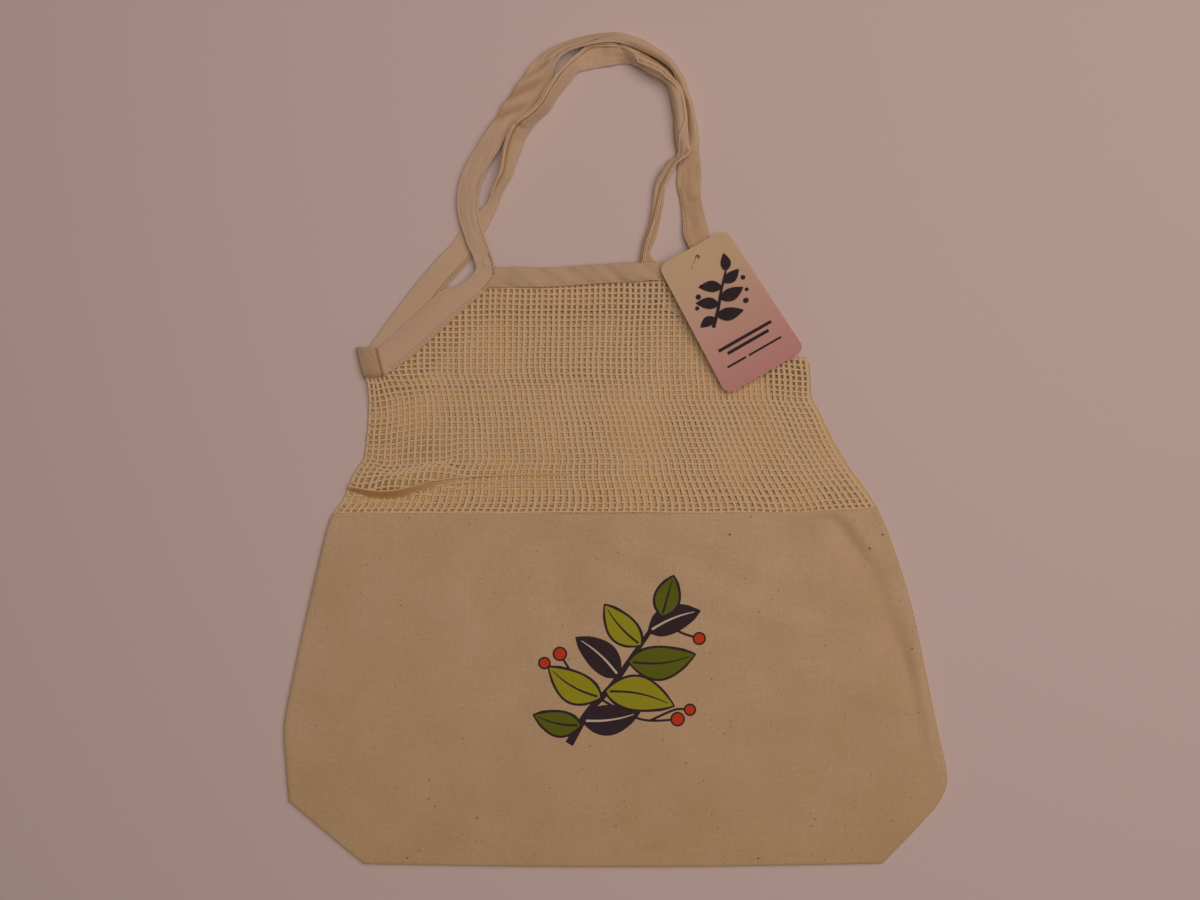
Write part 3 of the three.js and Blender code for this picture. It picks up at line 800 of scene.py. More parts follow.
net_back = build_net(
    "netting_back", False, BACK_LEFT, BACK_RIGHT, BACK_TOP, drift=-1.2,
    upright=(1.78, 0.30, 5), cross=(1.12, 0.28, 5), per_cell=1, offset=(1.85, 1.6, 0.3), seed=21,
    material=NET_COTTON_SHADED, node="net_back",
)
net_front = build_net(
    "netting_front", True, FRONT_LEFT, FRONT_RIGHT, FRONT_TOP, drift=-2.6,
    upright=(1.08, 0.34, 6), cross=(0.78, 0.30, 6), per_cell=2, offset=(0.0, 0.0, 0.0), seed=7,
    material=NET_COTTON, node="net_front",
)


# ---------------------------------------------------------------- strips of cloth by the net

# X where the turned-under half of the front tape begins and ends, and the way it reaches
BINDING_START, BINDING_END = -160, -93
BINDING_REACH = (0.68, -0.73)


def seam_allowance_point(u, v):
    """The turned-up top edge of the canvas, lying between the two nets just above the seam."""
    x = mix(SEAM[0][0] + 3 + 7 * v, SEAM[-1][0] - 4 - 7 * v, u)
    tall = 9.5 - 4.0 * smooth(-150, -110, x) + 4.0 * smooth(70, 120, x)
    above = mix(-2.0, tall, v) + 0.6 * v * ripple(x, v, 16, 31)
    z = NET_FRONT_Z + SEAM_RISE * (1 - smooth(1, 9, above)) - 0.55 + 0.05 * ripple(x, above, 20, 33)
    return x, line_through(SEAM, x) + above, z


def binding_under_point(u, v):
    """The half of the front tape that is turned under the net along its slanting side."""
    x = mix(BINDING_START, BINDING_END, u)
    y = line_through(FRONT_TOP, x)
    reach = mix(-1, 14.5, v) + 0.9 * v * ripple(x, y, 14, 35)
    z = 2.95 - 0.8 * v + 0.08 * ripple(x, 9 * v, 11, 37)
    return x + BINDING_REACH[0] * reach, y + BINDING_REACH[1] * reach, z


# both strips under the net are coloured with painted warm shade
seam_allowance = shaped_grid("seam_allowance", 120, 4, seam_allowance_point, thickness=0.3)
finish_piece(seam_allowance, BINDING_SHADE_COTTON, "canvas")
binding_under = shaped_grid("binding_under_net", 80, 6, binding_under_point, thickness=0.2)
finish_piece(binding_under, BINDING_SHADE_COTTON, "tape")


# ---------------------------------------------------------------- fold low on the left of the net

PLEAT_YARNS, PLEAT_BACK_YARNS = 8, 8
PLEAT_WIDTH = 3.9
# Single yarns along the fold: first x, last x, distance below its line, height above the net
PLEAT_RIMS = [(-174, -30, -2.5, 1.35), (-118, -10, 1.1, 0.75), (-112, -20, 5.2, 0.75)]


def build_yarns(name, count, point, material, steps, yarn, fold=None):
    """Yarns side by side: point(k, t) is a place on yarn k at t from 0 to 1 along it.

    yarn is its half width, half height and number of sides, and fold(x) its "fold" attribute, the
    amount of painted shade.
    """
    vertices, faces = [], []
    for k in range(count):
        tube([point(k, n / steps) for n in range(steps + 1)], *yarn, vertices, faces, 0.3)
    folds = [fold(x) for x, _, _ in vertices] if fold else None
    return new_piece(name, vertices, faces, material, "net", folds=folds)


def pleat_point(k, t):
    """Cross yarns crowded together on the steep side of the fold."""
    x = mix(-174 + 0.8 * k, -62 - 4.5 * k, t)
    depth = smooth(-176, -158, x) * (1 - smooth(-130, -94, x))
    place = k / (PLEAT_YARNS - 1) - 0.5
    y = line_through(PLEAT, x) - place * PLEAT_WIDTH * mix(0.12, 1.0, depth)
    z = NET_FRONT_Z + pleat_shift(x, y)[1] + mix(-0.25, 0.6, smooth(-106, -124, x))
    return x, y + 0.25 * ripple(x, k, 11, 2.2), z + 0.12 * ripple(x, 3 * k, 5, 4.4)


def pleat_back_point(k, t):
    """The turned-under layer that shows through the net above the fold."""
    x = mix(-172 + 0.4 * k, -94 - 2 * k, t)
    y = line_through(PLEAT, x) + 1.2 + 1.5 * k
    rise = (0.3 + 1.3 * smooth(-152, -136, x)) * pleat_depth(x)
    z = NET_FRONT_Z - 0.15 + rise + 0.1 * ripple(x, k, 6, 7.1)
    return x, y + 0.4 * ripple(x, k, 13, 5.2), z


def pleat_rim_point(k, t):
    """Single yarns that stand out along the top of the fold and where it runs out."""
    first, last, drop, lift = PLEAT_RIMS[k]
    x = mix(first, last, t)
    y = line_through(PLEAT, x) - drop
    z = NET_FRONT_Z + pleat_shift(x, y)[1] + lift
    return x, y + 0.3 * ripple(x, drop, 12, 8.2), z + 0.1 * ripple(x, drop, 5, 3.3)


# painted shade: the fold's yarns also darken towards its left end
net_pleat = build_yarns(
    "netting_front_pleat", PLEAT_YARNS, pleat_point, PLEAT_SHADE_COTTON, steps=140, yarn=(0.36, 0.36, 5),
    fold=lambda x: 1 - smooth(-150, -104, x),
)
net_pleat_back = build_yarns(
    "netting_front_pleat_back", PLEAT_BACK_YARNS, pleat_back_point, NET_COTTON_SHADED,
    steps=100, yarn=(0.78, 0.30, 5),
)
net_pleat_rims = build_yarns(
    "netting_front_pleat_rims", len(PLEAT_RIMS), pleat_rim_point, NET_COTTON,
    steps=120, yarn=(0.48, 0.40, 6),
)


# ---------------------------------------------------------------- handles

# Places across a tape, 0 in its middle and 1 at its edge, with the half thickness in millimetres
TAPE_HALF = [
    (0.1, 0.70), (0.2, 0.69), (0.3, 0.68), (0.4, 0.67), (0.5, 0.65), (0.60, 0.64), (0.66, 0.56),
    (0.70, 0.58), (0.74, 0.56), (0.78, 0.62), (0.82, 0.56), (0.86, 0.58), (0.90, 0.58),
    (0.94, 0.62), (0.985, 0.42), (1.0, 0.14),
]
TAPE_PROFILE = [(-place, half) for place, half in reversed(TAPE_HALF)] + [(0.0, 0.70)] + TAPE_HALF
# Places across a tape of its twin rows of stitches, with a stitch's length and the gap to the next
STITCH_ROWS, STITCH_LENGTH, STITCH_GAP = (0.70, 0.86), 2.3, 0.6
TAPE_W = 16.5
# The tapes' middle surface goes no lower than this
TAPE_MIDDLE_LOW = 0.72

# Handles, from their left end to their right end, as the CAD part has them: stations along each
# tape, with points (x, y, z) on its middle surface from its outer edge to its inner edge
CAD_TAPE_T = 1.4
ON_BACK = TAPE_BACK_Z + CAD_TAPE_T / 2
ON_FRONT = TAPE_FRONT_Z + CAD_TAPE_T / 2
OVER_HEM = ON_FRONT + 0.3
FRONT_STRAP = [
    [[-161, 57, ON_FRONT], [-151, 47, ON_FRONT]],
    [[-148, 71, 4.1], [-144, 66, 4.8], [-140.5, 61, ON_FRONT], [-137, 56, ON_FRONT]],
    [[-127, 90, 4.1], [-123, 85, 4.8], [-119, 80, ON_FRONT], [-115, 75, ON_FRONT]],
    [[-113, 103, 4.3], [-108.5, 98.5, 4.9], [-104, 93.5, ON_FRONT], [-100, 89, ON_FRONT]],
    [[-101, 106, ON_FRONT], [-86, 101, ON_FRONT]],
    [[-91, 115, 5.2], [-78, 111, 5.4]],
    [[-91, 121, 5.2], [-78, 118, 6]],
    [[-96, 133, 4.5], [-82, 131, 6.5]],
    [[-101.5, 150, 3.5], [-87.5, 147.5, 6.5]],
    [[-102.5, 166.5, 3], [-88.5, 164, 6]],
    [[-98, 182, 3.5], [-84, 179, 6]],
    [[-90, 195.5, 4], [-75.5, 192.5, 7]],
    [[-81, 209.5, 4.5], [-67, 206.5, 6.5]],
    [[-71, 225.5, 5], [-54, 218, 6]],
    [[-59, 242.5, 4.5], [-42.5, 234, 5.5]],
    [[-48.5, 255.5, 3], [-38.5, 248, 8]],
    [[-36, 263.5, 1], [-31, 256, 8]],
    [[-18.5, 268.5, 1], [-16, 260.5, 8.8]],
    [[-0.5, 269.5, 1], [-0.5, 268, 7], [-0.5, 265, 10], [-0.5, 261.5, 9]],
    [[17, 264, 1], [17, 263, 8], [15.8, 260, 12], [14.3, 257, 9.2]],
    [[32, 255, 1], [32, 254, 8], [31, 251.5, 12], [29.6, 249, 9]],
    [[38, 249, 1], [38, 248, 6.5], [37, 245.5, 10.5], [36, 243.4, 8.5]],
    [[42, 243, 1], [42.5, 242.5, 5], [41, 240.5, 8], [38.8, 239, 6]],
    [[45.5, 233.5, 1], [46.2, 233, 5], [44.8, 232, 7.5], [42.5, 231, 5]],
    [[48.5, 224, 1], [49.2, 223.5, 5], [47.8, 223, 7.5], [45.5, 222.5, 5]],
    [[51, 212.5, 1], [51.7, 212, 5], [50, 211.5, 7.3], [47, 211, 4.5]],
    [[52, 204, 1], [53, 204, 5], [50.5, 203.5, 6.8], [46.5, 203, 4]],
    [[52.5, 198, 1], [53.5, 198, 4.5], [50.5, 197.5, 5], [45, 197, 2.2]],
    [[54.5, 190.5, 1.5], [51, 190, 2.5], [47, 189.5, 2.5], [42, 189, 1]],
    [[55.5, 180, 2], [40, 180, 1]],
    [[55, 168.5, 2], [50, 169, 3], [45, 169.5, 2], [40, 170, 1]],
    [[56.5, 157, 3], [42.5, 157.5, 1]],
    [[59.5, 146, 1.5], [54, 146.5, 3], [49, 147, 1.8], [43.5, 147, 2.5]],
    [[61.5, 137, 3], [44, 138.5, 3]],
    [[66, 127.5, 5.6], [50, 125, 5.6]],
    [[71, 119, OVER_HEM], [58, 108, OVER_HEM]],
    [[87, 103, ON_FRONT], [73.5, 91.5, ON_FRONT]],
    [[103.5, 83, ON_FRONT], [86.5, 74, ON_FRONT]],
    [[109.5, 72, ON_FRONT], [92.5, 64, ON_FRONT]],
]
BACK_STRAP = [
    [[-163, 61, ON_BACK], [-150, 52, ON_BACK]],
    [[-150, 80, ON_BACK], [-137, 70, ON_BACK]],
    [[-128.5, 108.5, ON_BACK], [-115.5, 98.5, ON_BACK]],
    [[-116, 123, ON_BACK], [-103.5, 113, ON_BACK]],
    [[-106, 134, 1.3], [-93.5, 124, 1.3]],
    [[-98, 146, 1], [-87.5, 135.5, 1]],
    [[-84, 158.5, 4.5], [-78.5, 153, 1]],
    [[-79, 167.5, 7], [-76.5, 168, 8.5], [-74.5, 168, 5], [-73, 168, 1]],
    [[-74, 178.5, 9.5], [-72, 178.5, 11], [-70, 178, 6], [-67.5, 178, 1]],
    [[-71, 196, 10.5], [-69, 196, 12], [-66, 195, 6.5], [-61.5, 194, 1]],
    [[-65.5, 208, 11.5], [-63.5, 207, 13], [-60.5, 205, 7], [-58, 203, 1]],
    [[-56.5, 214.5, 12.5], [-54.5, 213.5, 14], [-53, 213, 7], [-52, 212, 1]],
    [[-49, 222, 13], [-47, 221.5, 14], [-45, 221, 7], [-43, 220.5, 1]],
    [[-43.5, 231.5, 13], [-41.5, 231, 14], [-39.5, 230.5, 7], [-37, 230, 1]],
    [[-35.5, 243, 9], [-33.5, 243, 10.5], [-31.5, 241.5, 6], [-29, 239.5, 1]],
    [[-29.5, 250, 6.5], [-28, 248.5, 7.5], [-26.5, 246.5, 4], [-25, 244.5, 1]],
    [[-22.5, 257.5, 5], [-20, 246, 1]],
    [[-15.5, 262, 5.6], [-13, 247.5, 1]],
    [[-2, 261.8, 7.2], [-4, 249, 1]],
    [[7, 260, 6.5], [5.5, 257, 8], [5, 254, 4.5], [5, 250.5, 1]],
    [[17.5, 256, 6], [15.5, 249.5, 12], [14, 247.8, 7.5], [15.5, 249, 1]],
    [[28, 248.8, 6], [24.5, 245.8, 12.5], [22.5, 241.8, 9], [25, 244, 1]],
    [[36, 240, 9.4], [33.3, 239.2, 12.3], [31.8, 237, 8.5], [33, 238.5, 1]],
    [[42.6, 230.5, 10], [39.5, 229.5, 10.5], [37, 229, 9], [35.5, 229.5, 1]],
    [[46, 214.5, 10], [42.5, 214, 10], [39.8, 214, 8.5], [37.8, 214.5, 1]],
    [[46.5, 203, 9.5], [43, 202.5, 9.5], [40.3, 202, 8], [38.3, 202, 1]],
    [[47, 197, 9.3], [43.5, 197, 9], [41, 197, 6], [39, 197, 1]],
    [[47, 190.5, 9], [44, 190, 8.5], [41, 190, 5], [39, 190.5, 1]],
    [[38, 182.5, 9.5], [36, 184.5, 8.5], [34.5, 185.5, 5], [33, 185.5, 1]],
    [[33.5, 174, 7], [29.5, 176, 6.5], [28, 177, 3.5], [30.5, 174.5, 1]],
    [[30.5, 166.5, 5.5], [26, 168.5, 4.8], [26.5, 168.5, 2.2], [32, 167, 1]],
    [[26, 148.5, 5], [23.5, 149.5, 4.6], [23.8, 149.8, 2.2], [29.5, 151, 1]],
    [[21.5, 134.5, 5], [19, 135, 4.6], [19.3, 135.3, 2.2], [26, 136.5, 1]],
    [[19.3, 125, 5], [17, 125, 4.6], [17.3, 125.2, 2.2], [22.5, 127.5, 1]],
    [[19, 118, 4.6], [17.2, 117.5, 4.4], [17.8, 117, 2.2], [28, 119.5, 1.8]],
    [[20, 105, ON_BACK], [33, 111, ON_BACK]],
    [[33, 91, ON_BACK], [43, 104, ON_BACK]],
    [[73, 71, ON_BACK], [80, 86, ON_BACK]],
    [[100, 62, ON_BACK], [106, 78, ON_BACK]],
]
STRAP_STEPS = 9
FINE_STEPS = 24
# Creases along a tape: first and last station, place across it, depth, width
FRONT_CREASES = [(14.6, 18.6, 0.45, 1.2, 0.10), (14.0, 17.2, -0.3, 0.7, 0.18)]
BACK_CREASES = [(7.5, 15.5, -0.62, 1.5, 0.10), (18.5, 22.5, -0.5, 0.7, 0.11)]
# Wrinkles across a tape: station, lean, depth, width
FRONT_WRINKLES = [
    (12.87, 0.49, 2.2, 0.24), (13.88, 0.69, 2.4, 0.26), (14.8, 1.0, 1.6, 0.2), (30.6, 0.2, 0.7, 0.17),
]
BACK_WRINKLES = [(10.25, 0.3, 1.4, 0.13), (19.3, 1.0, 1.0, 0.17), (17.6, 0.05, 0.5, 0.17)]
# Where the front tape's outer edge is pressed down at its left end: given like a crease
FRONT_PRESSED = [(0.3, 3.9, -1.0, 0.75, 0.35)]

# Routes along the tapes, [station, place across], of the edges that are turned and stitched
FRONT_EDGE = [[6.6, 0.95], [13.6, 0.95]]
LIP = [[6.6, -0.88], [18.2, -0.88], [19, -0.8], [20, -0.1], [21, -0.24], [22, -0.46], [23, -0.85]]
LIP_TURN = [[23, -0.85], [24.2, -0.8], [25, -0.25], [26.9, 0.3], [27.3, 0.35]]
LIP_LEG = [[26.4, -0.9], [28, -0.9], [34, -0.88]]
# Sideways shifts of the twin ridges along a route, and of a single one
TWIN, SINGLE = (-0.095, 0.095), (0.0,)
RIDGE_LIFT, RIDGE_FLATNESS = 0.12, 0.9


def beside(route, shift):
    return [[place, across + shift] for place, across in route]


# Painted shade along routes on a tape, dark lines beside its ridges and in its hollows: route, width,
# strength
FRONT_PAINTED_SHADE = [
    (beside(FRONT_EDGE, -0.10), 0.05, 0.25), ([[14.2, -0.5], [17.4, -0.5]], 0.3, 0.12),
    ([[18.4, 0.9], [22, 0.9]], 0.2, 0.5), ([[27.4, 0], [34.8, 0]], 1.2, 0.36),
]
BACK_PAINTED_SHADE = [
    (LIP, 0.035, 0.8), (beside(LIP, 0.24), 0.08, 1.0),
    (LIP_LEG, 0.035, 0.9), (beside(LIP_LEG, 0.24), 0.09, 0.9),
    (beside(LIP_TURN, 0.10), 0.07, 0.8), ([[6.8, -0.5], [11, -0.5]], 0.035, 0.6),
    ([[6.8, -0.34], [10.6, -0.34]], 0.04, 0.5), ([[19.6, -0.95], [22.8, -0.95]], 0.35, 0.9),
    ([[22.4, 0.8], [27.8, 0.8]], 0.34, 0.9), ([[28, 0.5], [34.4, 0.5]], 0.4, 0.5),
]


# How deep the ends of a stitch go into the cloth
STITCH_SINK = 0.2


def lay_stitches(line, length, gap, thick, vertices, faces):
    """Short thread stitches laid end to end along a line of points."""
    marks = [0.0]
    for a, b in zip(line, line[1:]):
        marks.append(marks[-1] + (b - a).length)

    def at(distance):
        k = int(np.searchsorted(marks, distance)) - 1
        k = min(max(k, 0), len(line) - 2)
        span = max(marks[k + 1] - marks[k], 1e-6)
        return line[k].lerp(line[k + 1], (distance - marks[k]) / span)

    start = gap
    while start + length < marks[-1]:
        path = [at(start + f * length) for f in (0.0, 0.2, 0.8, 1.0)]
        path[0].z -= STITCH_SINK
        path[-1].z -= STITCH_SINK
        tube(path, thick, thick, 4, vertices, faces, math.pi / 4)
        start += length + gap


class Strap:
    """A soft tape through its stations, with a little waviness of its own."""

    def __init__(self, stations, seed, creases, wrinkles, painted_shade_routes, pressed=()):
        self.seed, self.creases, self.wrinkles, self.painted_shade_routes = seed, creases, wrinkles, painted_shade_routes
        self.pressed = pressed
        self.places = [self.four_points(points) for points in stations]
        self.count = (len(stations) - 1) * STRAP_STEPS
        rows, self.folds = [], []
        for n in range(self.count + 1):
            place = n / STRAP_STEPS
            flat = spline(self.places, place)
            rows.append(self.section([flat[k:k + 3] for k in range(0, 12, 3)], place))
            self.folds.append([self.fold(place, across) for across, _ in TAPE_PROFILE])
        self.middle = np.array(rows)
        along = np.gradient(self.middle, axis=0)
        across = np.gradient(self.middle, axis=1)
        self.normal = np.cross(across, along)
        self.normal /= np.linalg.norm(self.normal, axis=2, keepdims=True)
        self.half = np.array([half for _, half in TAPE_PROFILE])[None, :, None]

    @staticmethod
    def four_points(points):
        """A station's points as one row of twelve numbers; two points get two more between them."""
        if len(points) == 2:
            first, last = points
            inside = [[mix(a, b, t) for a, b in zip(first, last)] for t in (1 / 3, 2 / 3)]
            points = [first, *inside, last]
        return [value for point in points for value in point]

    def fold(self, place, across):
        """How much painted shade a spot of the cloth gets, 0 to 1: in its creases and wrinkles, and
        along the painted shade routes.
        """
        depth = 0.0
        for first, last, at, sink, width in self.creases:
            within = between(first, last, 1.2, place)
            depth += 0.4 * sink * within * bell(across - at, 1.3 * width)
        for at, lean, sink, width in self.wrinkles:
            sink *= 1 - 0.8 * smooth(-0.1, 0.6, across)
            depth += 0.32 * sink * bell(place - at - lean * across, width)
        for route, width, strength in self.painted_shade_routes:
            if route[0][0] <= place <= route[-1][0]:
                within = between(route[0][0], route[-1][0], 0.4, place)
                depth += strength * within * bell(across - line_through(route, place), width)
        return min(depth, 1.0)

    def section(self, points, place):
        """Points evenly spaced across the tape, with its creases, wrinkles and waviness."""
        fine = np.array([spline(points, 3 * n / FINE_STEPS) for n in range(FINE_STEPS + 1)])
        steps = np.linalg.norm(np.diff(fine, axis=0), axis=1)
        travelled = np.concatenate([[0.0], np.cumsum(steps)]) / steps.sum()
        calm = smooth(4, 7, min(place, len(self.places) - 1 - place))

        def wave(along_scale, across_scale, extra):
            spot = (place * along_scale, across * across_scale, self.seed + extra)
            return noise.noise(Vector(spot))

        row = []
        for across, _ in TAPE_PROFILE:
            x, y, z = (np.interp((across + 1) / 2, travelled, fine[:, k]) for k in range(3))
            for first, last, at, depth, width in self.creases:
                z -= depth * between(first, last, 1.2, place) * bell(across - at, width)
            for at, lean, depth, width in self.wrinkles:
                depth *= 1 - 0.8 * smooth(-0.1, 0.6, across)
                z -= depth * bell(place - at - lean * across, width)
            for first, last, at, depth, width in self.pressed:
                z -= depth * between(first, last, 0.6, place) * bell(across - at, width)
            z += calm * 0.5 * wave(1.9, 0.8, 0)
            z += calm * 0.4 * wave(1.1, 3.2, 3)
            z += calm * 0.35 * across ** 2 * wave(3.4, 2, 5)
            shift = calm * 0.35 * wave(1.5, 0.6, 9)
            row.append((x + shift, y + shift * 0.6, max(z, TAPE_MIDDLE_LOW)))
        return row

    def track(self, route, side, lift, shift=0.0):
        """Points on one face of the tape, along a route of [station, place across] pairs."""
        columns = [across for across, _ in TAPE_PROFILE]
        points = []
        for n in range(int(route[0][0] * STRAP_STEPS), int(route[-1][0] * STRAP_STEPS) + 1):
            across = line_through(route, n / STRAP_STEPS) + shift
            spot = [np.interp(across, columns, self.middle[n, :, k]) for k in range(3)]
            up = [np.interp(across, columns, self.normal[n, :, k]) for k in range(3)]
            half = np.interp(across, columns, self.half[0, :, 0])
            points.append(Vector(spot) + Vector(up) * side * (half + lift))
        return points

    def build(self, name, node):
        low = self.middle - self.normal * self.half
        high = self.middle + self.normal * self.half
        loop = np.concatenate([low, high[:, ::-1]], axis=1)
        loop[:, :, 2] = np.maximum(loop[:, :, 2], TAPE_LOW_Z)
        middle_line = self.middle[:, len(TAPE_PROFILE) // 2]
        steps = np.linalg.norm(np.diff(middle_line, axis=0), axis=1)
        travelled = np.concatenate([[0.0], np.cumsum(steps)])
        columns = [across * TAPE_W / 2 for across, _ in TAPE_PROFILE]
        columns += [UV_GAP + column for column in reversed(columns)]
        vertices = [tuple(point) for point in loop.reshape(-1, 3)]
        uv = [(t * MM, c * MM) for t in travelled for c in columns]
        faces = ring_faces(self.count + 1, len(columns))
        # the painted shade from fold() goes into the tape's "fold" attribute
        folds = [value for row in self.folds for value in (*row, *reversed(row))]
        piece = new_piece(name, vertices, faces, TAPE_COTTON, "tape", node, uv=uv, folds=folds)
        face_outwards(piece)
        return piece

    def stitches(self, name, runs):
        """Twin rows of stitches on both faces; runs are (edge, first place, last place, thread)."""
        vertices, faces = [], []
        for edge, first, last, thick in runs:
            for row in STITCH_ROWS:
                for side in (1, -1):
                    line = self.track([[first, edge * row], [last, edge * row]], side, 0.6 * thick)
                    lay_stitches(line, STITCH_LENGTH, STITCH_GAP, thick, vertices, faces)
        # the stitches get dark brown thread colour, partly painted shade of the stitch holes
        return new_piece(name, vertices, faces, STITCH_SHADE_COTTON, "tape")

    def ridges(self, name, runs):
        """Firm ridges of turned and stitched edges; runs are (route, sideways shifts, radius)."""
        vertices, faces = [], []
        for route, shifts, radius in runs:
            for shift in shifts:
                line = self.track(route, 1, RIDGE_LIFT, shift)
                tube(line, radius, RIDGE_FLATNESS * radius, 6, vertices, faces)
        # the ridges get pale thread colour, partly a painted highlight along the edges
        return new_piece(name, vertices, faces, STITCH_HIGHLIGHT_COTTON, "tape")


front_strap = Strap(FRONT_STRAP, 2.0, FRONT_CREASES, FRONT_WRINKLES, FRONT_PAINTED_SHADE, FRONT_PRESSED)
back_strap = Strap(BACK_STRAP, 9.0, BACK_CREASES, BACK_WRINKLES, BACK_PAINTED_SHADE)
strap_front = front_strap.build("strap_front_tape", "strap_front")
strap_back = back_strap.build("strap_back_tape", "strap_back")
strap_front_thread = front_strap.stitches(
    "strap_front_stitching",
    [(1, 0.6, 4.2, 0.14), (1, 4.2, 6.8, 0.24), (1, 22.5, 27.5, 0.24), (1, 30, 34, 0.2)],
)
strap_back_thread = back_strap.stitches(
    "strap_back_stitching", [(1, 0.6, 5, 0.3), (-1, 26.6, 34, 0.3)],
)
strap_front_edge = front_strap.ridges("strap_front_selvage", [(FRONT_EDGE, SINGLE, 0.32)])
strap_back_edge = back_strap.ridges(
    "strap_back_rolled_edge", [(LIP, TWIN, 0.40), (LIP_TURN, SINGLE, 0.32), (LIP_LEG, TWIN, 0.36)],
)


# ---------------------------------------------------------------- hems

# Corners of each hem, [x, y]: left low, left high, right low, right high
HEM_FRONT = [[-83, 104.6], [-78.2, 117.8], [54.8, 109.6], [47.4, 121.4]]
HEM_BACK = [[-111.5, 92.4], [-101.8, 106], [21, 92.4], [9, 108]]
HEM_BACK_Z = 0.75
# Places across a hem from its lower to its upper edge, with the half thickness there
HEM_PROFILE = [(0.0, 0.12), (0.03, 0.45), (0.10, 0.66), (0.17, 0.50), (0.24, 0.62), (0.5, 0.66),
               (0.76, 0.64), (0.9, 0.68), (0.97, 0.48), (1.0, 0.12)]
# Place in the profile of the row of stitches, and how high it lies over the hem's middle
HEM_SEAM, HEM_SEAM_LIFT = 3, 0.60
HEM_COLUMNS = 90
HEM_W = 12.8
# Height of a hem's middle over its base, and how far its line dips left of the middle
HEM_MIDDLE, HEM_DIP = 0.7, 1.2


def build_hem(name, node, corners, material, base, lift, wave, seed):
    """A folded band along the top of the net, and its row of stitches."""
    low_left, high_left, low_right, high_right = corners
    vertices, uv, seam = [], [], []
    for i in range(HEM_COLUMNS + 1):
        u = i / HEM_COLUMNS
        ring = []
        for v, half in HEM_PROFILE:
            x = mix(mix(low_left[0], low_right[0], u), mix(high_left[0], high_right[0], u), v)
            y = mix(mix(low_left[1], low_right[1], u), mix(high_left[1], high_right[1], u), v)
            y -= HEM_DIP * bell(u - 0.3, 0.16)
            y += 0.45 * ripple(x, 10 * v, 16, seed)
            z = base + HEM_MIDDLE + lift(x, y) + 0.35 * ripple(x, y, 13, seed + 3)
            z += wave * ripple(x + 1.3 * v * HEM_W, 6 * v, 9, seed + 7)
            ring.append((Vector((x, y, z)), half, v))
        seam.append(ring[HEM_SEAM][0] + Vector((0, 0, HEM_SEAM_LIFT)))
        for point, half, v in ring:
            vertices.append((point.x, point.y, point.z - half))
            uv.append((point.x * MM, v * HEM_W * MM))
        for point, half, v in reversed(ring):
            vertices.append((point.x, point.y, point.z + half))
            uv.append((point.x * MM, (UV_GAP + v * HEM_W) * MM))
    faces = ring_faces(HEM_COLUMNS + 1, 2 * len(HEM_PROFILE))
    band = new_piece(name, vertices, faces, material, "tape", node, uv=uv)
    stitch_points, stitch_faces = [], []
    lay_stitches(seam, 2.4, 0.8, 0.25, stitch_points, stitch_faces)
    thread = new_piece(name + "_stitching", stitch_points, stitch_faces, material, "tape")
    return band, thread


hem_front, hem_front_thread = build_hem(
    "hem_front_band", "hem_front", HEM_FRONT, HEM_COTTON, base=TAPE_FRONT_Z, lift=front_lift,
    wave=2.6, seed=4.0,
)
hem_back, hem_back_thread = build_hem(
    "hem_back_band", "hem_back", HEM_BACK, HEM_BACK_SHADE_COTTON, base=HEM_BACK_Z, lift=lambda x, y: 0.0,
    wave=0.2, seed=14.0,
)


# ---------------------------------------------------------------- side wraps

WRAP_W, WRAP_L, WRAP_T, WRAP_H = 18.8, 18.8, 1.1, 7.4
WRAP_ROWS = 60
# Points along its lower part, round its fold and along its upper part
WRAP_LOWER, WRAP_ROUND, WRAP_UPPER = 8, 15, 22
# Corners of each wrap from the middle of its CAD node: its fold's two ends, then its open side's
LEFT_CORNERS = [(-3.8, -10.4), (-8.7, 9.6), (11.4, -9.6), (7.2, 8.4)]
RIGHT_CORNERS = [(3.4, 12.8), (12.8, -3.4), (-12.8, 3.4), (-3.4, -12.8)]


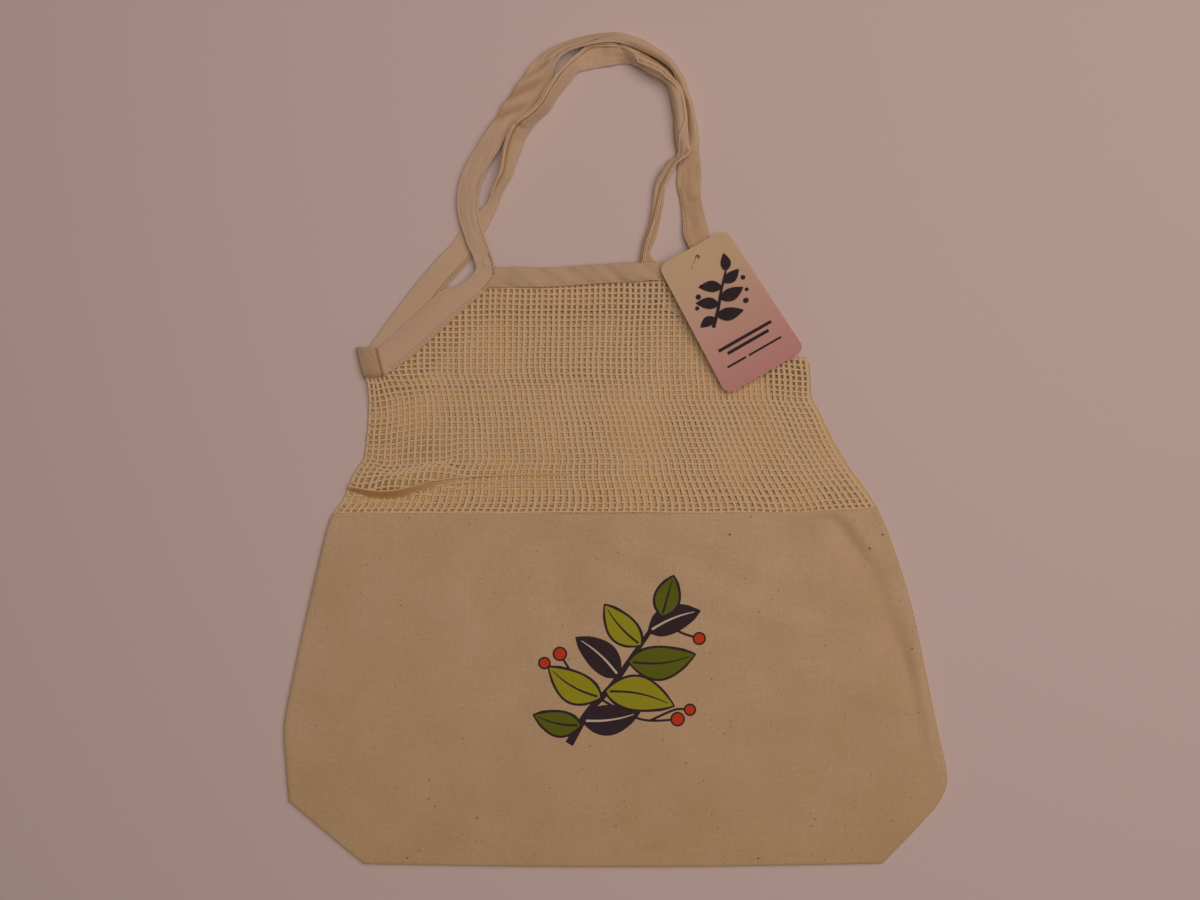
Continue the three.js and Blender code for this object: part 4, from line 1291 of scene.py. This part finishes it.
def build_wrap(name, node, corners, seed):
    """A short tape folded round the side of the bag, softly puffed and rounded at its fold."""
    outer = (WRAP_H - WRAP_T) / 2
    straight = WRAP_W - WRAP_H / 2
    path = [(mix(straight, 0, n / WRAP_LOWER), -outer) for n in range(WRAP_LOWER)]
    turns = np.linspace(0, math.pi, WRAP_ROUND)
    path += [(-outer * math.sin(a), -outer * math.cos(a)) for a in turns]
    path += [(mix(0, straight, n / WRAP_UPPER), outer) for n in range(1, WRAP_UPPER + 1)]
    count, width = len(path), WRAP_ROWS + 1
    low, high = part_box(node)
    middle = Vector((low[0] + high[0], low[1] + high[1])) / 2 / MM
    fold_low, fold_high, end_low, end_high = (middle + Vector(corner) for corner in corners)
    vertices, uv, folds = [], [], []
    for face in (1, -1):
        for n, (a, z) in enumerate(path):
            upper = smooth(-1, 1, z)
            before, after = path[max(n - 1, 0)], path[min(n + 1, count - 1)]
            along = Vector((after[0] - before[0], after[1] - before[1])).normalized()
            normal = Vector((along.y, -along.x))
            for j in range(width):
                v = 2 * j / WRAP_ROWS - 1
                thin = mix(0.35, 1.0, smooth(0, 0.12, 1 - abs(v)))
                if n in (0, count - 1):
                    thin *= 0.5
                spot = Vector((a, z)) + normal * (face * WRAP_T / 2 * thin)
                crown = 0.35 * (1 - v * v) * bell(a - 3.0, 6.0)
                wrinkle = 0.42 * ripple(a * 1.5 + v * 5, v * 9, 5, seed)
                wrinkle += 0.08 * math.sin(v * 38 + 2 * ripple(a, v * 9, 6, seed + 2))
                wrinkle -= 0.9 * bell(a - straight + 2.4, 0.7)
                slope = -1.7 * smooth(8, -outer, a) - 0.5 * abs(v) ** 3
                height = spot[1] + WRAP_H / 2 + upper * (crown + wrinkle + slope)
                reach = (spot[0] + outer + 0.6 * abs(v) ** 8 * smooth(5, -3, a)) / WRAP_W
                t = (v + 1) / 2 + 0.012 * ripple(a, seed, 4)
                flat = fold_low.lerp(fold_high, t).lerp(end_low.lerp(end_high, t), reach)
                vertices.append((flat.x, flat.y, max(height, TAPE_LOW_Z)))
                # painted shade on the upper face: darker in the groove by the stitching, towards one
                # side, and a little all over
                groove_shade = bell(a - straight + 1.9, 0.8)
                folds.append(upper * min(0.75 * groove_shade + 0.35 * smooth(0.55, 1.0, -v) + 0.10, 1))
                uv.append((v * WRAP_L / 2 * MM, (n * 1.2 + (60 if face < 0 else 0)) * MM))
    half = count * width
    faces = []
    for n in range(count - 1):
        for j in range(WRAP_ROWS):
            a = n * width + j
            b = a + width
            faces.append((a, b, b + 1, a + 1))
            faces.append((a + half, a + 1 + half, b + 1 + half, b + half))
        for j in (0, WRAP_ROWS):
            a = n * width + j
            faces.append((a, a + half, a + width + half, a + width))
    for j in range(WRAP_ROWS):
        for n in (0, count - 1):
            a = n * width + j
            faces.append((a, a + half, a + 1 + half, a + 1))
    piece = new_piece(name, vertices, faces, WRAP_COTTON, "tape", node, uv=uv, folds=folds)
    face_outwards(piece)
    return piece


wrap_left = build_wrap("side_wrap_left_tape", "side_wrap_left", LEFT_CORNERS, 1.0)
wrap_right = build_wrap("side_wrap_right_tape", "side_wrap_right", RIGHT_CORNERS, 6.0)


# ---------------------------------------------------------------- printed design on the canvas

# Height of the ink over the cloth, and of each layer of ink over the one below
PRINT_LIFT, LAYER_STEP = 0.10, 0.035
PRINT_CENTRE = (4.0, -146.0)
INK_T = 0.05
# A garden sprig, leaning to the right: a long stem with leaves and small round berries
STEM = [(-34, -44), (-22, -24), (-6, -6), (8, 14), (26, 40)]
# root on the stem, angle, length, width, bend, fill
LEAVES = [
    ((-27, -32), 168, 30, 15, 2, "leaf"),
    ((-25, -29), 8, 36, 17, -2, "dark"),
    ((-14, -14), 150, 38, 19, 3, "lime"),
    ((-10, -10), -12, 44, 21, 3, "lime"),
    ((-2, 0), 138, 36, 17, -2, "dark"),
    ((5, 9), 6, 42, 20, -3, "leaf"),
    ((12, 20), 132, 34, 17, 2, "lime"),
    ((18, 29), 22, 34, 16, 2, "dark"),
    ((26, 39), 74, 26, 15, 0, "leaf"),
]
# centre and radius
BERRIES = [((-40, 14), 3.6), ((-50, 8), 3.0), ((36, -28), 3.6), ((44, -22), 2.9), ((50, 24), 3.2)]
# from the stem out to each berry
TWIGS = [
    [(-18, -19), (-30, -2), (-40, 14)], [(-32, 1), (-42, 4), (-50, 8)],
    [(-14, -15), (12, -28), (36, -28)], [(18, -29), (34, -22), (44, -22)],
    [(24, 36), (38, 28), (50, 24)],
]


def printed_mark(name, rows, cols, place, height):
    """A thin patch of ink: place(u, v) gives its x and y, and height(x, y) how high it lies."""

    def point(u, v):
        x, y = place(u, v)
        return x, y, height(x, y)

    piece = shaped_grid(name, cols, rows, point, INK_T)
    face_outwards(piece)
    return piece


def leaf_place(root, angle, length, width, bend=0.0, grow=0.0):
    """Leaf outline from its root: pointed at the tip, fullest below the middle."""
    angle = math.radians(angle)
    along = Vector((math.cos(angle), math.sin(angle)))
    side = Vector((-along.y, along.x))

    def place(u, v):
        t = -grow / length + u * (1 + 2 * grow / length)
        shape = max(math.sin(math.pi * min(max(u, 0), 1)) ** 0.8 * (1.25 - 0.55 * u), 0.0)
        half = (width / 2) * shape + grow * min(1, 6 * u, 6 * (1 - u))
        across = (2 * v - 1) * half + bend * math.sin(math.pi * t)
        spot = Vector(root) + along * (t * length) + side * across
        return spot.x, spot.y

    return place


def band_place(points, widths):
    """A drawn stroke through points, with a width at each."""

    def place(u, v):
        at = u * (len(points) - 1)
        x, y = spline(points, at)
        ahead = spline(points, min(at + 0.05, len(points) - 1))
        behind = spline(points, max(at - 0.05, 0))
        along = Vector((ahead[0] - behind[0], ahead[1] - behind[1])).normalized()
        width = line_through([[n, w] for n, w in enumerate(widths)], at)
        across = (v - 0.5) * width
        return x - along.y * across, y + along.x * across

    return place


def disc_place(centre, radius):
    """A round spot from a square grid."""

    def place(u, v):
        a, b = 2 * u - 1, 2 * v - 1
        x = a * math.sqrt(1 - b * b / 2) * radius
        y = b * math.sqrt(1 - a * a / 2) * radius
        return centre[0] + x, centre[1] + y

    return place


def join(pieces, name, material, slot):
    bpy.ops.object.select_all(action="DESELECT")
    for piece in pieces:
        piece.select_set(True)
    bpy.context.view_layer.objects.active = pieces[0]
    bpy.ops.object.join()
    piece = bpy.context.active_object
    piece.name = name
    finish_piece(piece, material, slot)
    return piece


def moved(point):
    return point[0] + PRINT_CENTRE[0], point[1] + PRINT_CENTRE[1]


def vein_line(root, angle, length, bend):
    """Points along the middle of a leaf."""
    turn = math.radians(angle)
    points = []
    for t in (0.05, 0.35, 0.65, 0.92):
        across = bend * math.sin(math.pi * t)
        points.append((
            root[0] + math.cos(turn) * t * length - math.sin(turn) * across,
            root[1] + math.sin(turn) * t * length + math.cos(turn) * across,
        ))
    return points


def print_sprig():
    inks = {"dark": INK_DARK, "lime": INK_LIME, "leaf": INK_LEAF, "red": INK_RED, "pale": INK_PALE}
    made = {kind: [] for kind in inks}

    def add(kind, label, rows, cols, place, level):
        """One mark; a higher level lies over a lower one."""

        def height(x, y):
            return pouch_height(x, y) + PRINT_LIFT + LAYER_STEP * level

        made[kind].append(printed_mark(label, rows, cols, place, height))

    add("dark", "stem", 3, 40, band_place([moved(p) for p in STEM], [5.5, 4.6, 4.0, 3.4, 2.6]), 1)
    for n, twig in enumerate(TWIGS):
        add("dark", f"twig_{n}", 3, 16, band_place([moved(p) for p in twig], [1.6, 1.5, 1.4]), 1)
    for n, (root, angle, length, width, bend, fill) in enumerate(LEAVES):
        leaf = (moved(root), angle, length, width, bend)
        add("dark", f"leaf_edge_{n}", 10, 24, leaf_place(*leaf, grow=1.5), 2)
        if fill != "dark":
            add(fill, f"leaf_fill_{n}", 10, 24, leaf_place(*leaf), 3)
        vein = band_place(vein_line(moved(root), angle, length, bend), [1.5, 1.3, 1.0, 0.4])
        add("pale" if fill == "dark" else "dark", f"vein_{n}", 3, 16, vein, 4)
    for n, (centre, radius) in enumerate(BERRIES):
        add("dark", f"berry_edge_{n}", 10, 10, disc_place(moved(centre), radius + 1.1), 2)
        add("red", f"berry_{n}", 10, 10, disc_place(moved(centre), radius), 3)
    return [join(made[kind], "print_" + kind, ink, "canvas") for kind, ink in inks.items()]


prints = print_sprig()


# ---------------------------------------------------------------- hang tag

# Corners of the tag's lower face as the CAD part has them, from its top left round to its foot left
TAG = [(27.2, 117.4, 11.0), (70.4, 141.4, 9.6), (121.7, 64.0, 9.0), (71.4, 35.1, 6.0)]
CARD_T, TAG_W, TAG_L = 0.5, 50.4, 94.2
TAG_INK_LIFT = 0.04
# The tag's drawing, in millimetres from its top left corner
TAG_STEM = [(12, 52), (20, 43), (27, 34), (36, 24)]
# root, angle, length, width
TAG_LEAVES = [
    ((16, 47), 176, 11, 6.5), ((17, 46), 20, 17, 8.5), ((22, 41), -146, 15, 7.5),
    ((24, 38), 2, 16, 8.5), ((29, 32), -150, 15, 7.5), ((31, 30), -14, 13, 7),
    ((36, 24), -66, 12, 6.5),
]
# centre, radius
TAG_SPOTS = [
    ((9, 36), 1.3), ((13, 30), 1.7), ((18, 25), 1.2), ((37, 47), 1.7), ((41, 41), 1.2), ((43, 33), 1.5),
]
# first x, last x, y, thickness
TAG_BARS = [(8, 43, 67, 2.0), (12, 39, 71.2, 2.0), (8, 20, 79, 1.3), (22, 43, 79, 1.3)]


def on_tag(u, v):
    """Point on the tag: u across from the left, v down from its top edge."""
    return [mix(mix(TAG[0][k], TAG[1][k], u), mix(TAG[3][k], TAG[2][k], u), v) for k in range(3)]


def card_material():
    """Coated card with a tint running from cream to pink down its length."""
    material, tree, shader = new_material("tag_card")
    place = add_node(tree, "ShaderNodeTexCoord", (-1200, 0)).outputs["Object"]
    top = Vector(on_tag(0.5, 0)) * MM
    along = Vector(on_tag(0.5, 1)) * MM - top
    run = add_node(tree, "ShaderNodeMapping", (-900, 0), {
        "Vector": place, "Location": (top.x, top.y, 0),
        "Rotation": (0, 0, math.atan2(along.y, along.x)),
        "Scale": (Vector((along.x, along.y)).length,) * 3,
    }, vector_type="TEXTURE")
    parts = add_node(tree, "ShaderNodeSeparateXYZ", (-700, 0), {0: run.outputs[0]})
    ramp = add_node(tree, "ShaderNodeValToRGB", (-400, 0), {0: parts.outputs["X"]})
    stops = ramp.color_ramp.elements
    stops[0].position, stops[0].color = 0.12, (0.74, 0.64, 0.40, 1)
    stops[1].position, stops[1].color = 1.0, (0.70, 0.38, 0.37, 1)
    stops.new(0.55).color = (0.73, 0.52, 0.42, 1)
    grain = noise_node(tree, place, 900.0, 3.0, (-700, -300))
    add_bump(tree, shader, grain, 0.2, 0.03)
    set_inputs(tree, shader, {
        "Base Color": ramp.outputs[0], "Roughness": 0.55, "Specular IOR Level": 0.4,
    })
    return material


def pin_material():
    """Cloudy clear plastic."""
    material, tree, shader = new_material("pin_plastic")
    haze = add_node(tree, "ShaderNodeTexNoise", (-500, 0), {"Scale": 400.0}).outputs["Fac"]
    rough = add_node(
        tree, "ShaderNodeMapRange", (-250, 0), {"Value": haze, "To Min": 0.2, "To Max": 0.35},
    )
    set_inputs(tree, shader, {
        "Base Color": (0.97, 0.86, 0.74, 1), "Transmission Weight": 0.2,
        "Roughness": rough.outputs[0],
    })
    return material


for node, material in (("hang_tag", card_material()), ("tag_pin", pin_material())):
    bpy.data.objects[node].data.materials.clear()
    bpy.data.objects[node].data.materials.append(material)

TAG_INK = ink_material("tag_ink", (0.028, 0.022, 0.03), 0.6)


def tag_height(x, y):
    """Height of the ink on the card at a place in plan."""
    along = Vector((TAG[3][0] - TAG[0][0], TAG[3][1] - TAG[0][1]))
    across = Vector((TAG[1][0] - TAG[0][0], TAG[1][1] - TAG[0][1]))
    det = across.x * along.y - across.y * along.x
    u, v = 0.5, 0.5
    for _ in range(6):
        px, py = on_tag(u, v)[:2]
        dx, dy = x - px, y - py
        u += (dx * along.y - dy * along.x) / det
        v += (across.x * dy - across.y * dx) / det
    return on_tag(u, v)[2] + CARD_T + TAG_INK_LIFT


def print_tag():
    marks = []

    def add(label, rows, cols, drawn):
        """One mark, drawn in millimetres on the tag's face."""

        def place(u, v):
            x, y = drawn(u, v)
            return on_tag(x / TAG_W, y / TAG_L)[:2]

        marks.append(printed_mark(label, rows, cols, place, tag_height))

    add("tag_stem", 3, 24, band_place(TAG_STEM, [2.2, 1.9, 1.6, 1.1]))
    for n, leaf in enumerate(TAG_LEAVES):
        add(f"tag_leaf_{n}", 8, 16, leaf_place(*leaf, 0.6))
    for n, spot in enumerate(TAG_SPOTS):
        add(f"tag_spot_{n}", 8, 8, disc_place(*spot))
    for n, (first, last, y, thick) in enumerate(TAG_BARS):
        add(f"tag_bar_{n}", 3, 20, band_place([(first, y), (last, y)], [thick, thick]))
    return join(marks, "tag_print", TAG_INK, "card")


tag_print = print_tag()
